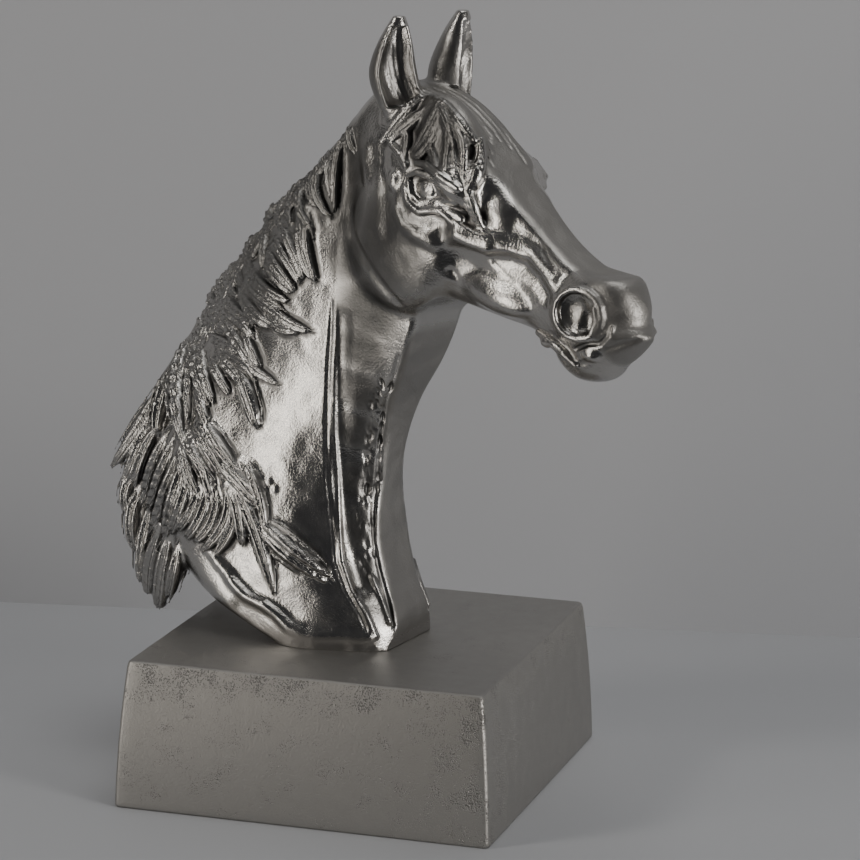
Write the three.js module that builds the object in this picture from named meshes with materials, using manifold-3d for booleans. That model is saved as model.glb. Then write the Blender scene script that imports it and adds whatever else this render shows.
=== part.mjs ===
// Horse head ornament: a cast bust of a horse, turned a little to its left, on a square cast plinth.
// Millimetres, +Z up. The origin is the middle of the plinth's underside, and +X is the way the horse
// looks along the plinth before its head turns.
//
// The bust is carved like clay. A value is kept at every point of a grid: negative inside the metal,
// positive outside. The neck and the head are laid in first, then every muscle, fold and lock of hair
// is pressed on or scraped out, one after another. The surface where the value is zero becomes the mesh.
import * as THREE from 'three';
import { edgeTable, triTable } from 'three/addons/objects/MarchingCubes.js';
import Module from 'manifold-3d';

const wasm = await Module();
wasm.setup();

// Sizes
const PLINTH_BOTTOM = 160;
const PLINTH_TOP = 152;
const PLINTH_HEIGHT = 62;
const PLINTH_BOW = 0.8;
const PLINTH_EDGE = 1.5;
const PLINTH_CORNER = 2.5;
const BUST_HEIGHT = 264.5;
const BASE_TURN = 10;
const HEAD_TURN = 29;

// The bust is drawn for a height of 264.5 from the plinth's top to the ear tips, with its foot at 62.
const DRAWN_HEIGHT = 264.5;
const DRAWN_FOOT = 62;
const EAR_FOOT = 286;
const EAR_TIP = 326.3;
const UNIT = BUST_HEIGHT / DRAWN_HEIGHT;
const TURN_AXIS_Y = -4;
// The clay's grid: the width of one step, the clear space kept around the figure, and the triangles kept.
const CELL = 2.3;
const GRID_SPARE = 8;
const BUST_FACES = 9000;

const smooth = (a, b, x) => {
  const t = Math.min(1, Math.max(0, (x - a) / (b - a)));
  return t * t * (3 - 2 * t);
};
const joinSoft = (a, b, k) => {
  const h = Math.max(k - Math.abs(a - b), 0) / k;
  return Math.min(a, b) - h * h * k * 0.25;
};
const cutSoft = (a, b, k) => -joinSoft(-a, b, k);
const meetSoft = (a, b, k) => -joinSoft(-a, -b, k);

// A smooth line through stations [place, value], read at any place.
function line(...stations) {
  const x = stations.map((s) => s[0]);
  const y = stations.map((s) => s[1]);
  const last = x.length - 1;
  const slope = x.slice(1).map((b, i) => (y[i + 1] - y[i]) / (b - x[i]));
  const lean = y.map((_, i) => {
    if (i === 0) return slope[0];
    if (i === last) return slope[last - 1];
    const before = x[i] - x[i - 1];
    const after = x[i + 1] - x[i];
    return (slope[i - 1] * after + slope[i] * before) / (before + after);
  });
  return (at) => {
    const p = Math.min(x[last], Math.max(x[0], at));
    let i = 0;
    while (i < last - 1 && p > x[i + 1]) i++;
    const h = x[i + 1] - x[i];
    const u = (p - x[i]) / h;
    const v = 1 - u;
    return (1 + 2 * u) * v * v * y[i] + u * v * v * h * lean[i]
      + u * u * (3 - 2 * u) * y[i + 1] - u * u * v * h * lean[i + 1];
  };
}

// The neck, drawn straight and even on both sides. For each height: where its front strip lies and how
// wide it is, where the long ridge beside the windpipe lies, and the half widths from there to the crest.
const NECK_HEIGHTS = [55, 62, 68, 76, 85, 110, 135, 165, 185, 200, 235, 262, 285, 300];
const NECK_FRONT = [24, 24, 25.6, 25.4, 22.4, 17, 18.2, 27.2, 38.5, 45, 52, 50, 42, 34];
const NECK_RIDGE = [21, 21, 19.5, 17, 13, 5.2, 3, 4.8, 6.5, 8, 10, 14, 20, 24];
const NECK_BACK = [-25, -27, -43, -62, -76, -91, -95, -90, -82, -77, -46, -14, 13, 28];
const NECK_WIDTHS = [
  [21.5, 21, 17, 14.5, 12.8, 11.5, 7, 9, 12, 13.5, 14, 14, 13, 9],
  [22.5, 22.5, 24, 25, 25, 23.5, 22.5, 22.5, 22.8, 22.5, 21.5, 18, 14, 9],
  [26, 27, 27, 27.5, 27.5, 25.5, 24.5, 24, 23.8, 23.5, 22, 19, 14, 9],
  [33, 34, 34, 33, 32, 31, 30, 28, 26.5, 25.5, 22, 18, 13, 8],
  [35, 35, 34, 33, 31, 27, 24, 21, 19, 17, 14, 12, 9, 7],
  [30, 30, 25, 22, 18, 12, 9, 8, 7.5, 7, 7, 7, 6, 5],
];
const alongHeight = (values) => line(...NECK_HEIGHTS.map((z, i) => [z, values[i]]));
const neckFront = alongHeight(NECK_FRONT);
const neckRidge = alongHeight(NECK_RIDGE);
const neckBack = alongHeight(NECK_BACK);
const neckWidths = NECK_WIDTHS.map(alongHeight);
function neckHalf(x, z) {
  const front = neckFront(z);
  const ridge = neckRidge(z);
  const back = neckBack(z);
  const w = neckWidths.map((f) => f(z));
  if (x > ridge) {
    const u = Math.min(1, (x - ridge) / Math.max(3, front - ridge));
    return w[1] + (w[0] - w[1]) * u - 2.2 * u * (1 - u);
  }
  const v = (ridge - x) / (ridge - back);
  return line([0, w[1]], [0.2, w[2]], [0.5, w[3]], [0.8, w[4]], [1, w[5]])(v);
}
function neck(x, y, z, half) {
  let f = (Math.abs(y) - half) * 0.9;
  f = meetSoft(f, (x - neckFront(z)) * 0.9, 3);
  f = meetSoft(f, (neckBack(z) - x) * 0.75, 9);
  f = Math.max(f, DRAWN_FOOT - GRID_SPARE / 2 - z);
  return meetSoft(f, z - 288, 8);
}

// The head, drawn along a line from the poll to the muzzle: "along" runs down the face and "deep" runs
// from the face to the jaw.
const FACE_SLOPE = THREE.MathUtils.degToRad(38);
const POLL = [40, 309];
const cosSlope = Math.cos(FACE_SLOPE);
const sinSlope = Math.sin(FACE_SLOPE);
const alongFace = (x, z) => (x - POLL[0]) * cosSlope - (z - POLL[1]) * sinSlope;
const deepFace = (x, z) => -(x - POLL[0]) * sinSlope - (z - POLL[1]) * cosSlope;
const faceX = (s, t) => POLL[0] + s * cosSlope - t * sinSlope;
const faceZ = (s, t) => POLL[1] - s * sinSlope - t * cosSlope;
const faceTop = line([-12, 24], [0, 14], [15, 5.5], [25, 2.8], [35, 2], [48, 2.2], [76, 3.8], [87, 4.1],
  [101, 3.8], [113, 2.1], [122, -0.5], [129, -6], [134, -10], [142, -11], [150, -9], [160, -3]);
const faceJaw = line([-12, 50], [0, 59], [15, 66], [29, 72], [50, 79.5], [63, 74.5], [78, 60], [87, 55],
  [99, 48.5], [117, 39], [124, 37.5], [135, 38.5], [144, 36], [153, 24], [160, 12]);
const HEAD_PLACES = [-12, 5, 25, 42, 58, 75, 92, 108, 120, 132, 145, 158];
const HEAD_WIDTHS = [
  [9, 11, 13, 14.5, 13.5, 11, 9.5, 9.5, 10, 11, 10.5, 7],
  [13, 17, 21, 22.5, 20, 16, 13, 12, 13, 14.5, 14.5, 12],
  [15, 18, 21.5, 22.5, 21.5, 18, 14, 12.5, 12.5, 13.5, 14, 11],
  [12, 13, 14, 13, 12, 11, 9, 7.5, 7.5, 7.5, 6, 4],
];
const headWidths = HEAD_WIDTHS.map((row) => line(...HEAD_PLACES.map((s, i) => [s, row[i]])));
function headHalf(x, z) {
  const s = alongFace(x, z);
  const top = faceTop(s);
  const v = Math.min(1, Math.max(0, (deepFace(x, z) - top) / (faceJaw(s) - top)));
  const w = headWidths.map((f) => f(s));
  return line([0, w[0]], [0.28, w[1]], [0.6, w[2]], [1, w[3]])(v);
}
const muzzleFront = line([190, 141], [198, 149.5], [206, 158], [212.5, 163], [220, 160.5], [231, 158],
  [240, 154]);
function head(x, y, z, half) {
  const s = alongFace(x, z);
  const t = deepFace(x, z);
  let f = (Math.abs(y) - half) * 0.93;
  f = meetSoft(f, faceTop(s) - t, 4);
  f = meetSoft(f, (t - faceJaw(s)) * 0.9, 8);
  f = meetSoft(f, x - muzzleFront(z) + 0.06 * y * y, 8);
  return meetSoft(f, -8 - s, 6);
}

// The grid of clay.
const LOW = new THREE.Vector3(-128, -44, DRAWN_FOOT - GRID_SPARE);
const HIGH = new THREE.Vector3(176, 44, Math.max(EAR_TIP, POLL[1]) + GRID_SPARE);
const count = [0, 1, 2].map((k) => Math.ceil((HIGH.getComponent(k) - LOW.getComponent(k)) / CELL) + 1);
const [NX, NY, NZ] = count;
const clay = new Float32Array(NX * NY * NZ);
const cellIndex = (i, j, k) => (k * NY + j) * NX + i;
for (let k = 0; k < NZ; k++) {
  const z = LOW.z + k * CELL;
  for (let i = 0; i < NX; i++) {
    const x = LOW.x + i * CELL;
    const halfNeck = neckHalf(x, z);
    const halfHead = headHalf(x, z);
    for (let j = 0; j < NY; j++) {
      const y = LOW.y + j * CELL;
      clay[cellIndex(i, j, k)] = joinSoft(neck(x, y, z, halfNeck), head(x, y, z, halfHead), 7);
    }
  }
}

// One touch of the tool: a shape inside a box, joined on or cut out with a soft border of width k.
function touch(low, high, k, tool, shape) {
  const steps = (value, a) => (value - LOW.getComponent(a)) / CELL;
  const from = [0, 1, 2].map((a) => Math.max(0, Math.floor(steps(low[a] - k, a))));
  const to = [0, 1, 2].map((a) => Math.min(count[a] - 1, Math.ceil(steps(high[a] + k, a))));
  for (let c = from[2]; c <= to[2]; c++) {
    for (let b = from[1]; b <= to[1]; b++) {
      for (let a = from[0]; a <= to[0]; a++) {
        const n = cellIndex(a, b, c);
        clay[n] = tool(clay[n], shape(LOW.x + a * CELL, LOW.y + b * CELL, LOW.z + c * CELL), k);
      }
    }
  }
}
const BOTH = [-1, 1];

// An egg shape: its middle, its three radii, and how far it is tipped nose down.
function egg(tool, k, [x0, y0, z0], [rx, ry, rz], tip = 0, sides = BOTH) {
  const r = Math.max(rx, ry, rz);
  const ca = Math.cos(THREE.MathUtils.degToRad(tip));
  const sa = Math.sin(THREE.MathUtils.degToRad(tip));
  for (const side of sides) {
    touch([x0 - r, side * y0 - r, z0 - r], [x0 + r, side * y0 + r, z0 + r], k, tool, (x, y, z) => {
      const u = (x - x0) * ca - (z - z0) * sa;
      const w = (x - x0) * sa + (z - z0) * ca;
      const v = y - side * y0;
      const p = Math.hypot(u / rx, v / ry, w / rz);
      const q = Math.hypot(u / rx / rx, v / ry / ry, w / rz / rz) + 1e-6;
      return p * (p - 1) / q;
    });
  }
}
// A cord: points [x, y, z, radius], used for ridges, folds and grooves.
function cord(tool, k, points, sides = BOTH) {
  const span = (a, sign) => sign(...points.map((p) => p[a] + (sign === Math.min ? -p[3] : p[3])));
  for (const side of sides) {
    const near = side < 0 ? -span(1, Math.max) : span(1, Math.min);
    const far = side < 0 ? -span(1, Math.min) : span(1, Math.max);
    touch([span(0, Math.min), near, span(2, Math.min)], [span(0, Math.max), far, span(2, Math.max)], k, tool,
      (x, y, z) => {
        let best = 1e6;
        for (let i = 0; i < points.length - 1; i++) {
          const p = points[i];
          const q = points[i + 1];
          const d = [q[0] - p[0], q[1] - p[1], q[2] - p[2]];
          const e = [x - p[0], y * side - p[1], z - p[2]];
          const along = d[0] * e[0] + d[1] * e[1] + d[2] * e[2];
          const u = Math.min(1, Math.max(0, along / (d[0] * d[0] + d[1] * d[1] + d[2] * d[2])));
          const gap = Math.hypot(e[0] - d[0] * u, e[1] - d[1] * u, e[2] - d[2] * u);
          best = Math.min(best, gap - p[3] - (q[3] - p[3]) * u);
        }
        return best;
      });
  }
}
// A lock of hair lying on a surface: root, bend and tip in side view, half width, height above the skin.
// A low pad under each lock raises the hair as a mass.
const lockSwell = line([0, 0.65], [0.35, 1.15], [0.7, 1.1], [0.9, 0.8], [1, 0.45]);
const LOCK_STEPS = 7;
function lock([x0, z0, x1, z1, x2, z2], width, lift, skin, side) {
  const spots = [];
  for (let i = 0; i <= LOCK_STEPS; i++) {
    const u = i / LOCK_STEPS;
    const bend = 2 * u * (1 - u);
    const x = (1 - u) * (1 - u) * x0 + bend * (2 * x1 - (x0 + x2) / 2) + u * u * x2;
    const z = (1 - u) * (1 - u) * z0 + bend * (2 * z1 - (z0 + z2) / 2) + u * u * z2;
    spots.push([x, skin(x, z) + lift * (0.3 + 0.7 * u), z, width * lockSwell(u)]);
  }
  for (const [wide, sunk, soft, taper] of [[1.6, 1.6, 3, 0.9], [1, 0, 1, 0]]) {
    const reach = 1.3 * wide * width;
    const low = [0, 1, 2].map((a) => Math.min(...spots.map((p) => p[a])) - reach);
    const high = [0, 1, 2].map((a) => Math.max(...spots.map((p) => p[a])) + reach);
    const box = side < 0 ? [[low[0], -high[1], low[2]], [high[0], -low[1], high[2]]] : [low, high];
    touch(box[0], box[1], soft, joinSoft, (x, y, z) => {
      let best = 1e6;
      for (let i = 0; i < LOCK_STEPS; i++) {
        const p = spots[i];
        const q = spots[i + 1];
        const dx = q[0] - p[0];
        const dz = q[2] - p[2];
        const u = Math.min(1, Math.max(0, ((x - p[0]) * dx + (z - p[2]) * dz) / (dx * dx + dz * dz + 1e-6)));
        const across = Math.hypot(x - p[0] - dx * u, z - p[2] - dz * u) / wide;
        const out = y * side - p[1] - (q[1] - p[1]) * u + sunk;
        const thin = 1 - taper * (i + u) / LOCK_STEPS;
        best = Math.min(best, Math.hypot(across, out) - (p[3] + (q[3] - p[3]) * u) * thin);
      }
      return best;
    });
  }
}

// Jaw, cheek and brow
egg(joinSoft, 7, [43, 17, 237], [27, 9.5, 27]);
cord(cutSoft, 4, [[18, 26, 262, 2], [15.5, 26, 246, 2.8], [18, 26, 230, 3], [28, 25, 214, 3],
  [42, 22, 207, 2.5]]);
egg(joinSoft, 6, [faceX(55, 14), 15.5, faceZ(55, 14)], [13, 10.5, 8], 38);
egg(cutSoft, 6, [faceX(30, 14), 25.5, faceZ(30, 14)], [8, 4.5, 6], 38);
cord(joinSoft, 5, [[40, 20, 243, 4], [55, 21.5, 244, 4.5], [74, 20, 245, 4.5], [92, 15.5, 243, 4],
  [108, 11, 238, 3.5], [122, 10, 231, 3]]);
egg(cutSoft, 6, [faceX(84, 37), 21.5, faceZ(84, 37)], [12, 6, 8], 30);
egg(joinSoft, 6, [94, 10.5, 222], [15, 5.5, 8], 14);
egg(cutSoft, 6, [faceX(93, 13), 18, faceZ(93, 13)], [16, 5, 5], 40);
// Eye: the ball, the lids and the tear fold
egg(cutSoft, 3, [faceX(48, 25), 26, faceZ(48, 25)], [9, 4, 6.5], 30);
egg(joinSoft, 1.5, [faceX(48, 25), 17.5, faceZ(48, 25)], [6.2, 6.2, 6.2]);
cord(joinSoft, 2, [[50, 22.5, 258, 1.5], [55, 23.8, 265, 1.7], [63, 24.5, 268, 1.8], [71, 23, 262, 1.6]]);
cord(joinSoft, 2, [[50, 22.5, 258, 1.5], [54, 23.2, 253, 1.6], [62, 23.4, 251.5, 1.7], [72, 22, 254, 1.6],
  [82, 19.5, 250, 1.5]]);
// Muzzle: nostril bowl with its rim, the lips, the mouth corner and the chin
egg(joinSoft, 5, [138, 9, 221], [13, 8, 12]);
const rim = [];
for (let i = 0; i <= 16; i++) {
  const a = i / 16 * Math.PI * 2;
  rim.push([138.4 + 9.9 * Math.cos(a), 15.2 - 2.6 * Math.cos(a), 222.2 + 9.4 * Math.sin(a), 1.9]);
}
cord(joinSoft, 2, rim);
egg(cutSoft, 1.5, [138.6, 18.6, 222.4], [8.2, 6, 7.8]);
egg(joinSoft, 5, [133.5, 2, 201], [13, 8, 7], 10);
cord(cutSoft, 2, [[169, 0, 213, 1.6], [164, 7, 212.5, 1.6], [152, 12.5, 210.5, 1.7], [141, 13.5, 206.5, 1.8],
  [132, 13, 202.5, 1.6]]);
cord(joinSoft, 2, [[120, 12.5, 207, 1.8], [127, 13, 203.5, 2.3], [134, 13, 198.5, 2]]);
cord(cutSoft, 3, [[121, 13.5, 215, 2], [124, 14, 207.5, 1.8], [131, 14, 206, 1.5]]);
// Neck: the ridge beside the windpipe, the hollow panel behind it and the hem at the foot
for (const side of BOTH) {
  const ridge = [];
  for (let z = 70; z <= 205; z += 9) ridge.push([neckRidge(z), neckHalf(neckRidge(z), z) - 0.6, z, 1.9]);
  cord(joinSoft, 2.5, ridge, [side]);
}
cord(joinSoft, 3, [[21, 24.5, 64, 2], [2, 30, 66, 2.2], [-14, 33, 69, 2.2], [-30, 34, 79, 2],
  [-44, 33.5, 90, 1.6]]);
cord(cutSoft, 4, [[-2, 34.5, 61, 3], [-22, 37, 66, 3.5], [-40, 36, 78, 3]]);

// Ears: a leaf with a cupped opening that looks forward and out
const earWidth = line([0, 8.4], [0.2, 9.6], [0.4, 9.8], [0.6, 8.4], [0.8, 6], [0.93, 3.8], [1, 2.4]);
const earX = line([0, 38.5], [0.45, 35.5], [0.74, 37.5], [1, 40]);
const earY = line([0, 13], [0.45, 16.5], [1, 17.5]);
const EAR_LOOK = THREE.MathUtils.degToRad(62);
const FAR_EAR_WIDER = 1.1;
for (const side of BOTH) {
  const low = [20, side < 0 ? -32 : 2, EAR_FOOT];
  const high = [56, side < 0 ? -2 : 32, EAR_TIP];
  const place = (x, y, z) => {
    const up = (z - EAR_FOOT) / (EAR_TIP - EAR_FOOT);
    const dx = x - earX(up);
    const dy = y * side - earY(up);
    const across = dx * Math.cos(EAR_LOOK) - dy * Math.sin(EAR_LOOK);
    const out = dx * Math.sin(EAR_LOOK) + dy * Math.cos(EAR_LOOK);
    return [across, out, earWidth(up) * (side > 0 ? FAR_EAR_WIDER : 1)];
  };
  touch(low, high, 3, joinSoft, (x, y, z) => {
    const [across, out, r] = place(x, y, z);
    const body = Math.hypot(across, out * 1.12) - r;
    return Math.max(body, z - EAR_TIP);
  });
  touch([20, low[1], EAR_FOOT + 4], [56, high[1], EAR_TIP - 4], 1, cutSoft, (x, y, z) => {
    const [across, out, r] = place(x, y, z);
    const bowl = Math.hypot(across, (out - r * 0.8) * 1.1) - r * 0.76;
    return Math.max(bowl, EAR_FOOT + 6 - z, z - EAR_TIP + 5);
  });
}

// Hair. Each lock: root, bend and tip as seen from the side, and its half width.
const onNeck = (x, z) => {
  const level = Math.max(z, 104);
  const spare = Math.max(0, neckBack(level) - x);
  return Math.max(3, neckHalf(Math.max(x, neckBack(level)), level) - spare * 0.8);
};
const onHead = (x, z) => headHalf(x, z);
const MANE = [
  [23, 287, 1, 278, -11, 267, 1.8], [-9, 272, -11, 263, -8, 255, 2.2], [6, 270, 7, 262, 10, 247, 2.2],
  [-11, 265, -5, 253, 5, 242, 2.5], [-19, 257, -15, 247, -5, 237, 2.7],
  [-38, 244, -33, 237, -13, 229, 2.7], [-9, 238, -10, 229, -3, 216, 2.7],
  [-48, 235, -32, 226, -9, 214, 2.7], [-57, 229, -57, 218, -41, 210, 2.7],
  [-33, 221, -21, 209, -4, 214, 3], [-66, 218, -43, 209, -15, 203, 2.7], [-76, 212, -60, 202, -31, 194, 3],
  [-39, 209, -25, 201, -11, 194, 2.7], [-83, 202, -68, 195, -39, 189, 2.7],
  [-89, 192, -77, 189, -58, 186, 2.4], [-87, 187, -47, 186, -31, 174, 2.7],
  [-38, 188, -23, 191, -10, 185, 2.4], [-80, 184, -50, 176, -22, 170, 2.4],
  [-65, 176, -54, 170, -44, 165, 2.4], [-41, 172, -36, 165, -30, 152, 2.7],
  [-88, 184, -99, 166, -95, 141, 2.9], [-81, 188, -85, 164, -75, 141, 2.9],
  [-73, 188, -72, 171, -59, 157, 2.9], [-93, 175, -103, 160, -107, 149, 2.6],
  [-102, 159, -110, 147, -116, 134, 2.4], [-102, 152, -112, 135, -120, 122, 2.9],
  [-102, 137, -110, 125, -114, 116, 2.9], [-90, 139, -102, 121, -112, 101, 3.3],
  [-76, 140, -89, 123, -106, 104, 2.9], [-72, 127, -87, 109, -109, 86, 3.3],
  [-72, 127, -76, 112, -94, 92, 3.3], [-66, 117, -72, 108, -84, 95, 2.9],
  [-99, 90, -105, 77, -104, 68, 3.8], [-85, 90, -92, 78, -89, 66, 4.2], [-73, 99, -71, 88, -79, 72, 3.3],
  [-68, 95, -64, 88, -58, 83, 2.5], [-72, 143, -69, 132, -63, 122, 2.9],
  [-66, 147, -49, 131, -32, 119, 2.9], [-59, 150, -52, 143, -42, 135, 2.9],
  [-51, 127, -53, 115, -66, 102, 2.9], [-47, 125, -48, 111, -59, 96, 3.3],
  [-42, 124, -35, 113, -38, 103, 2.9], [-37, 123, -31, 104, -22, 88, 2.5],
  [-31, 117, -22, 103, 2, 92, 2.5], [-48, 134, -38, 127, -30, 119, 2.5],
];
const FAR_PULL = 7;
for (const [x0, z0, x1, z1, x2, z2, width] of MANE) {
  const pull = (x) => x + FAR_PULL * smooth(-40, -95, x);
  lock([pull(x0), z0, pull(x1), z1 + 2, pull(x2), z2 + 4], width, 0.5, onNeck, 1);
  lock([x0, z0, x1, z1, x2, z2], width, 0.7, onNeck, -1);
}
const FORELOCK = [
  [53, 300, 46, 290, 34, 275, 2.6], [55, 299, 56, 291, 42, 273, 2.6], [60, 296, 62, 287, 56, 274, 2.8],
  [63, 295, 68, 283, 71, 269, 2.8], [66, 295, 76, 284, 79, 264, 3], [69, 295, 82, 286, 83, 272, 2.6],
  [80, 272, 80, 262, 89, 250, 2.4],
];
for (const [x0, z0, x1, z1, x2, z2, width] of FORELOCK) {
  lock([x0, z0, x1, z1, x2, z2], width, 0, onHead, -1);
}

// The surface of the clay as triangles, by the marching cubes tables.
function surface() {
  const corner = [0, 1, 2, 3, 4, 5, 6, 7].map((n) => [n & 1, (n >> 1) & 1, n >> 2]);
  const edge = [[0, 1], [1, 3], [2, 3], [0, 2], [4, 5], [5, 7], [6, 7], [4, 6],
    [0, 4], [1, 5], [3, 7], [2, 6]];
  const bit = [1, 2, 8, 4, 16, 32, 128, 64];
  const points = [];
  const faces = [];
  const seen = new Map();
  for (let k = 0; k < NZ - 1; k++) {
    for (let j = 0; j < NY - 1; j++) {
      for (let i = 0; i < NX - 1; i++) {
        const at = corner.map((c) => cellIndex(i + c[0], j + c[1], k + c[2]));
        let mask = 0;
        at.forEach((n, c) => {
          if (clay[n] < 0) mask |= bit[c];
        });
        if (!edgeTable[mask]) continue;
        const ids = edge.map(([a, b], e) => {
          if (!(edgeTable[mask] & (1 << e))) return -1;
          const key = Math.min(at[a], at[b]) * 4 + (e > 7 ? 2 : e % 2);
          if (!seen.has(key)) {
            const share = Math.min(0.98, Math.max(0.02, clay[at[a]] / (clay[at[a]] - clay[at[b]])));
            const spot = [i, j, k].map((n, d) => n + corner[a][d] + (corner[b][d] - corner[a][d]) * share);
            seen.set(key, points.length);
            points.push(spot.map((n, d) => LOW.getComponent(d) + n * CELL));
          }
          return seen.get(key);
        });
        for (let t = mask * 16; triTable[t] >= 0; t += 3) {
          faces.push([ids[triTable[t]], ids[triTable[t + 2]], ids[triTable[t + 1]]]);
        }
      }
    }
  }
  return { points, faces };
}

// Fewer, larger triangles: the edge whose loss moves the surface least is drawn together, again and again.
function simplify(points, faces, wanted) {
  const n = points.length;
  const quad = Array.from({ length: n }, () => new Float64Array(10));
  const around = Array.from({ length: n }, () => new Set());
  const alive = new Uint8Array(faces.length).fill(1);
  const normalOf = (a, b, c) => {
    const u = [b[0] - a[0], b[1] - a[1], b[2] - a[2]];
    const v = [c[0] - a[0], c[1] - a[1], c[2] - a[2]];
    return [u[1] * v[2] - u[2] * v[1], u[2] * v[0] - u[0] * v[2], u[0] * v[1] - u[1] * v[0]];
  };
  faces.forEach((f, id) => {
    const [a, b, c] = f.map((i) => points[i]);
    const m = normalOf(a, b, c);
    const size = Math.hypot(...m) + 1e-12;
    const [p, q, r] = m.map((v) => v / size);
    const d = -(p * a[0] + q * a[1] + r * a[2]);
    const plane = [p * p, p * q, p * r, p * d, q * q, q * r, q * d, r * r, r * d, d * d];
    f.forEach((i) => {
      around[i].add(id);
      plane.forEach((v, e) => {
        quad[i][e] += v * size;
      });
    });
  });
  const errorAt = (q, [x, y, z]) => q[0] * x * x + 2 * q[1] * x * y + 2 * q[2] * x * z + 2 * q[3] * x
    + q[4] * y * y + 2 * q[5] * y * z + 2 * q[6] * y + q[7] * z * z + 2 * q[8] * z + q[9];
  const bestSpot = (q, a, b) => {
    const det = q[0] * (q[4] * q[7] - q[5] * q[5]) - q[1] * (q[1] * q[7] - q[5] * q[2])
      + q[2] * (q[1] * q[5] - q[4] * q[2]);
    const choices = [a, b, [(a[0] + b[0]) / 2, (a[1] + b[1]) / 2, (a[2] + b[2]) / 2]];
    if (Math.abs(det) > 1e-3 * Math.abs(q[0] + q[4] + q[7]) ** 3 / 27) {
      const s = [-q[3], -q[6], -q[8]];
      const x = (s[0] * (q[4] * q[7] - q[5] * q[5]) - q[1] * (s[1] * q[7] - q[5] * s[2])
        + q[2] * (s[1] * q[5] - q[4] * s[2])) / det;
      const y = (q[0] * (s[1] * q[7] - s[2] * q[5]) - s[0] * (q[1] * q[7] - q[5] * q[2])
        + q[2] * (q[1] * s[2] - s[1] * q[2])) / det;
      const z = (q[0] * (q[4] * s[2] - q[5] * s[1]) - q[1] * (q[1] * s[2] - s[1] * q[2])
        + s[0] * (q[1] * q[5] - q[4] * q[2])) / det;
      choices.push([x, y, z]);
    }
    return choices.reduce((best, c) => (errorAt(q, c) < errorAt(q, best) ? c : best));
  };
  const neighbours = (v) => {
    const set = new Set();
    around[v].forEach((id) => faces[id].forEach((i) => i !== v && set.add(i)));
    return set;
  };
  const age = new Uint32Array(n);
  const heap = [];
  const push = (item) => {
    let i = heap.push(item) - 1;
    while (i > 0) {
      const up = (i - 1) >> 1;
      if (heap[up].cost <= heap[i].cost) break;
      [heap[up], heap[i]] = [heap[i], heap[up]];
      i = up;
    }
  };
  const pop = () => {
    const top = heap[0];
    const last = heap.pop();
    if (heap.length) {
      heap[0] = last;
      let i = 0;
      for (;;) {
        let child = 2 * i + 1;
        if (child >= heap.length) break;
        if (child + 1 < heap.length && heap[child + 1].cost < heap[child].cost) child++;
        if (heap[i].cost <= heap[child].cost) break;
        [heap[child], heap[i]] = [heap[i], heap[child]];
        i = child;
      }
    }
    return top;
  };
  const offer = (a, b) => {
    const q = quad[a].map((v, i) => v + quad[b][i]);
    const spot = bestSpot(q, points[a], points[b]);
    const length = Math.hypot(...points[a].map((v, i) => v - points[b][i]));
    push({ cost: errorAt(q, spot) + 1e-4 * length * length, a, b, spot, ageA: age[a], ageB: age[b] });
  };
  for (let v = 0; v < n; v++) neighbours(v).forEach((w) => v < w && offer(v, w));
  let left = faces.length;
  while (left > wanted && heap.length) {
    const { a, b, spot, ageA, ageB } = pop();
    if (age[a] !== ageA || age[b] !== ageB) continue;
    const nearA = neighbours(a);
    const shared = [...neighbours(b)].filter((v) => nearA.has(v));
    if (!nearA.has(b) || shared.length !== 2) continue;
    const turns = [a, b].some((v) => [...around[v]].some((id) => {
      const f = faces[id];
      if (f.includes(a) && f.includes(b)) return false;
      const before = normalOf(...f.map((i) => points[i]));
      const after = normalOf(...f.map((i) => (i === v ? spot : points[i])));
      const dot = before[0] * after[0] + before[1] * after[1] + before[2] * after[2];
      return dot < 0.25 * Math.hypot(...before) * Math.hypot(...after) || Math.hypot(...after) < 1e-3;
    }));
    if (turns) continue;
    [...around[b]].forEach((id) => {
      const f = faces[id];
      if (f.includes(a)) {
        alive[id] = 0;
        left--;
        f.forEach((i) => around[i].delete(id));
      } else {
        f[f.indexOf(b)] = a;
        around[b].delete(id);
        around[a].add(id);
      }
    });
    points[a] = spot;
    quad[a] = quad[a].map((v, i) => v + quad[b][i]);
    age[a]++;
    age[b]++;
    neighbours(a).forEach((v) => offer(a, v));
  }
  return faces.filter((_, id) => alive[id]);
}

// The turn of the figure: the foot faces nearly along the plinth, the head looks to its own left.
function turned([x, y, z]) {
  const share = smooth(70, 190, z + 0.5 * x);
  const a = THREE.MathUtils.degToRad(BASE_TURN + (HEAD_TURN - BASE_TURN) * share);
  return [
    (Math.cos(a) * x + Math.sin(a) * y) * UNIT,
    (-Math.sin(a) * x + Math.cos(a) * y + TURN_AXIS_Y) * UNIT,
    PLINTH_HEIGHT + (z - DRAWN_FOOT) * UNIT,
  ];
}
function geometryOf(points, faces) {
  const used = new Map();
  const flat = [];
  const index = faces.flat().map((i) => {
    if (!used.has(i)) {
      used.set(i, used.size);
      flat.push(...points[i]);
    }
    return used.get(i);
  });
  const g = new THREE.BufferGeometry();
  g.setAttribute('position', new THREE.Float32BufferAttribute(flat, 3));
  g.setIndex(index);
  return g;
}
const solid = (g) => new wasm.Manifold(new wasm.Mesh({
  numProp: 3,
  vertProperties: new Float32Array(g.attributes.position.array),
  triVerts: new Uint32Array(g.index.array),
}));
function fromSolid(s) {
  const m = s.getMesh();
  const g = new THREE.BufferGeometry();
  g.setAttribute('position', new THREE.BufferAttribute(new Float32Array(m.vertProperties), m.numProp));
  g.setIndex(new THREE.BufferAttribute(new Uint32Array(m.triVerts), 1));
  return g;
}
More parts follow.
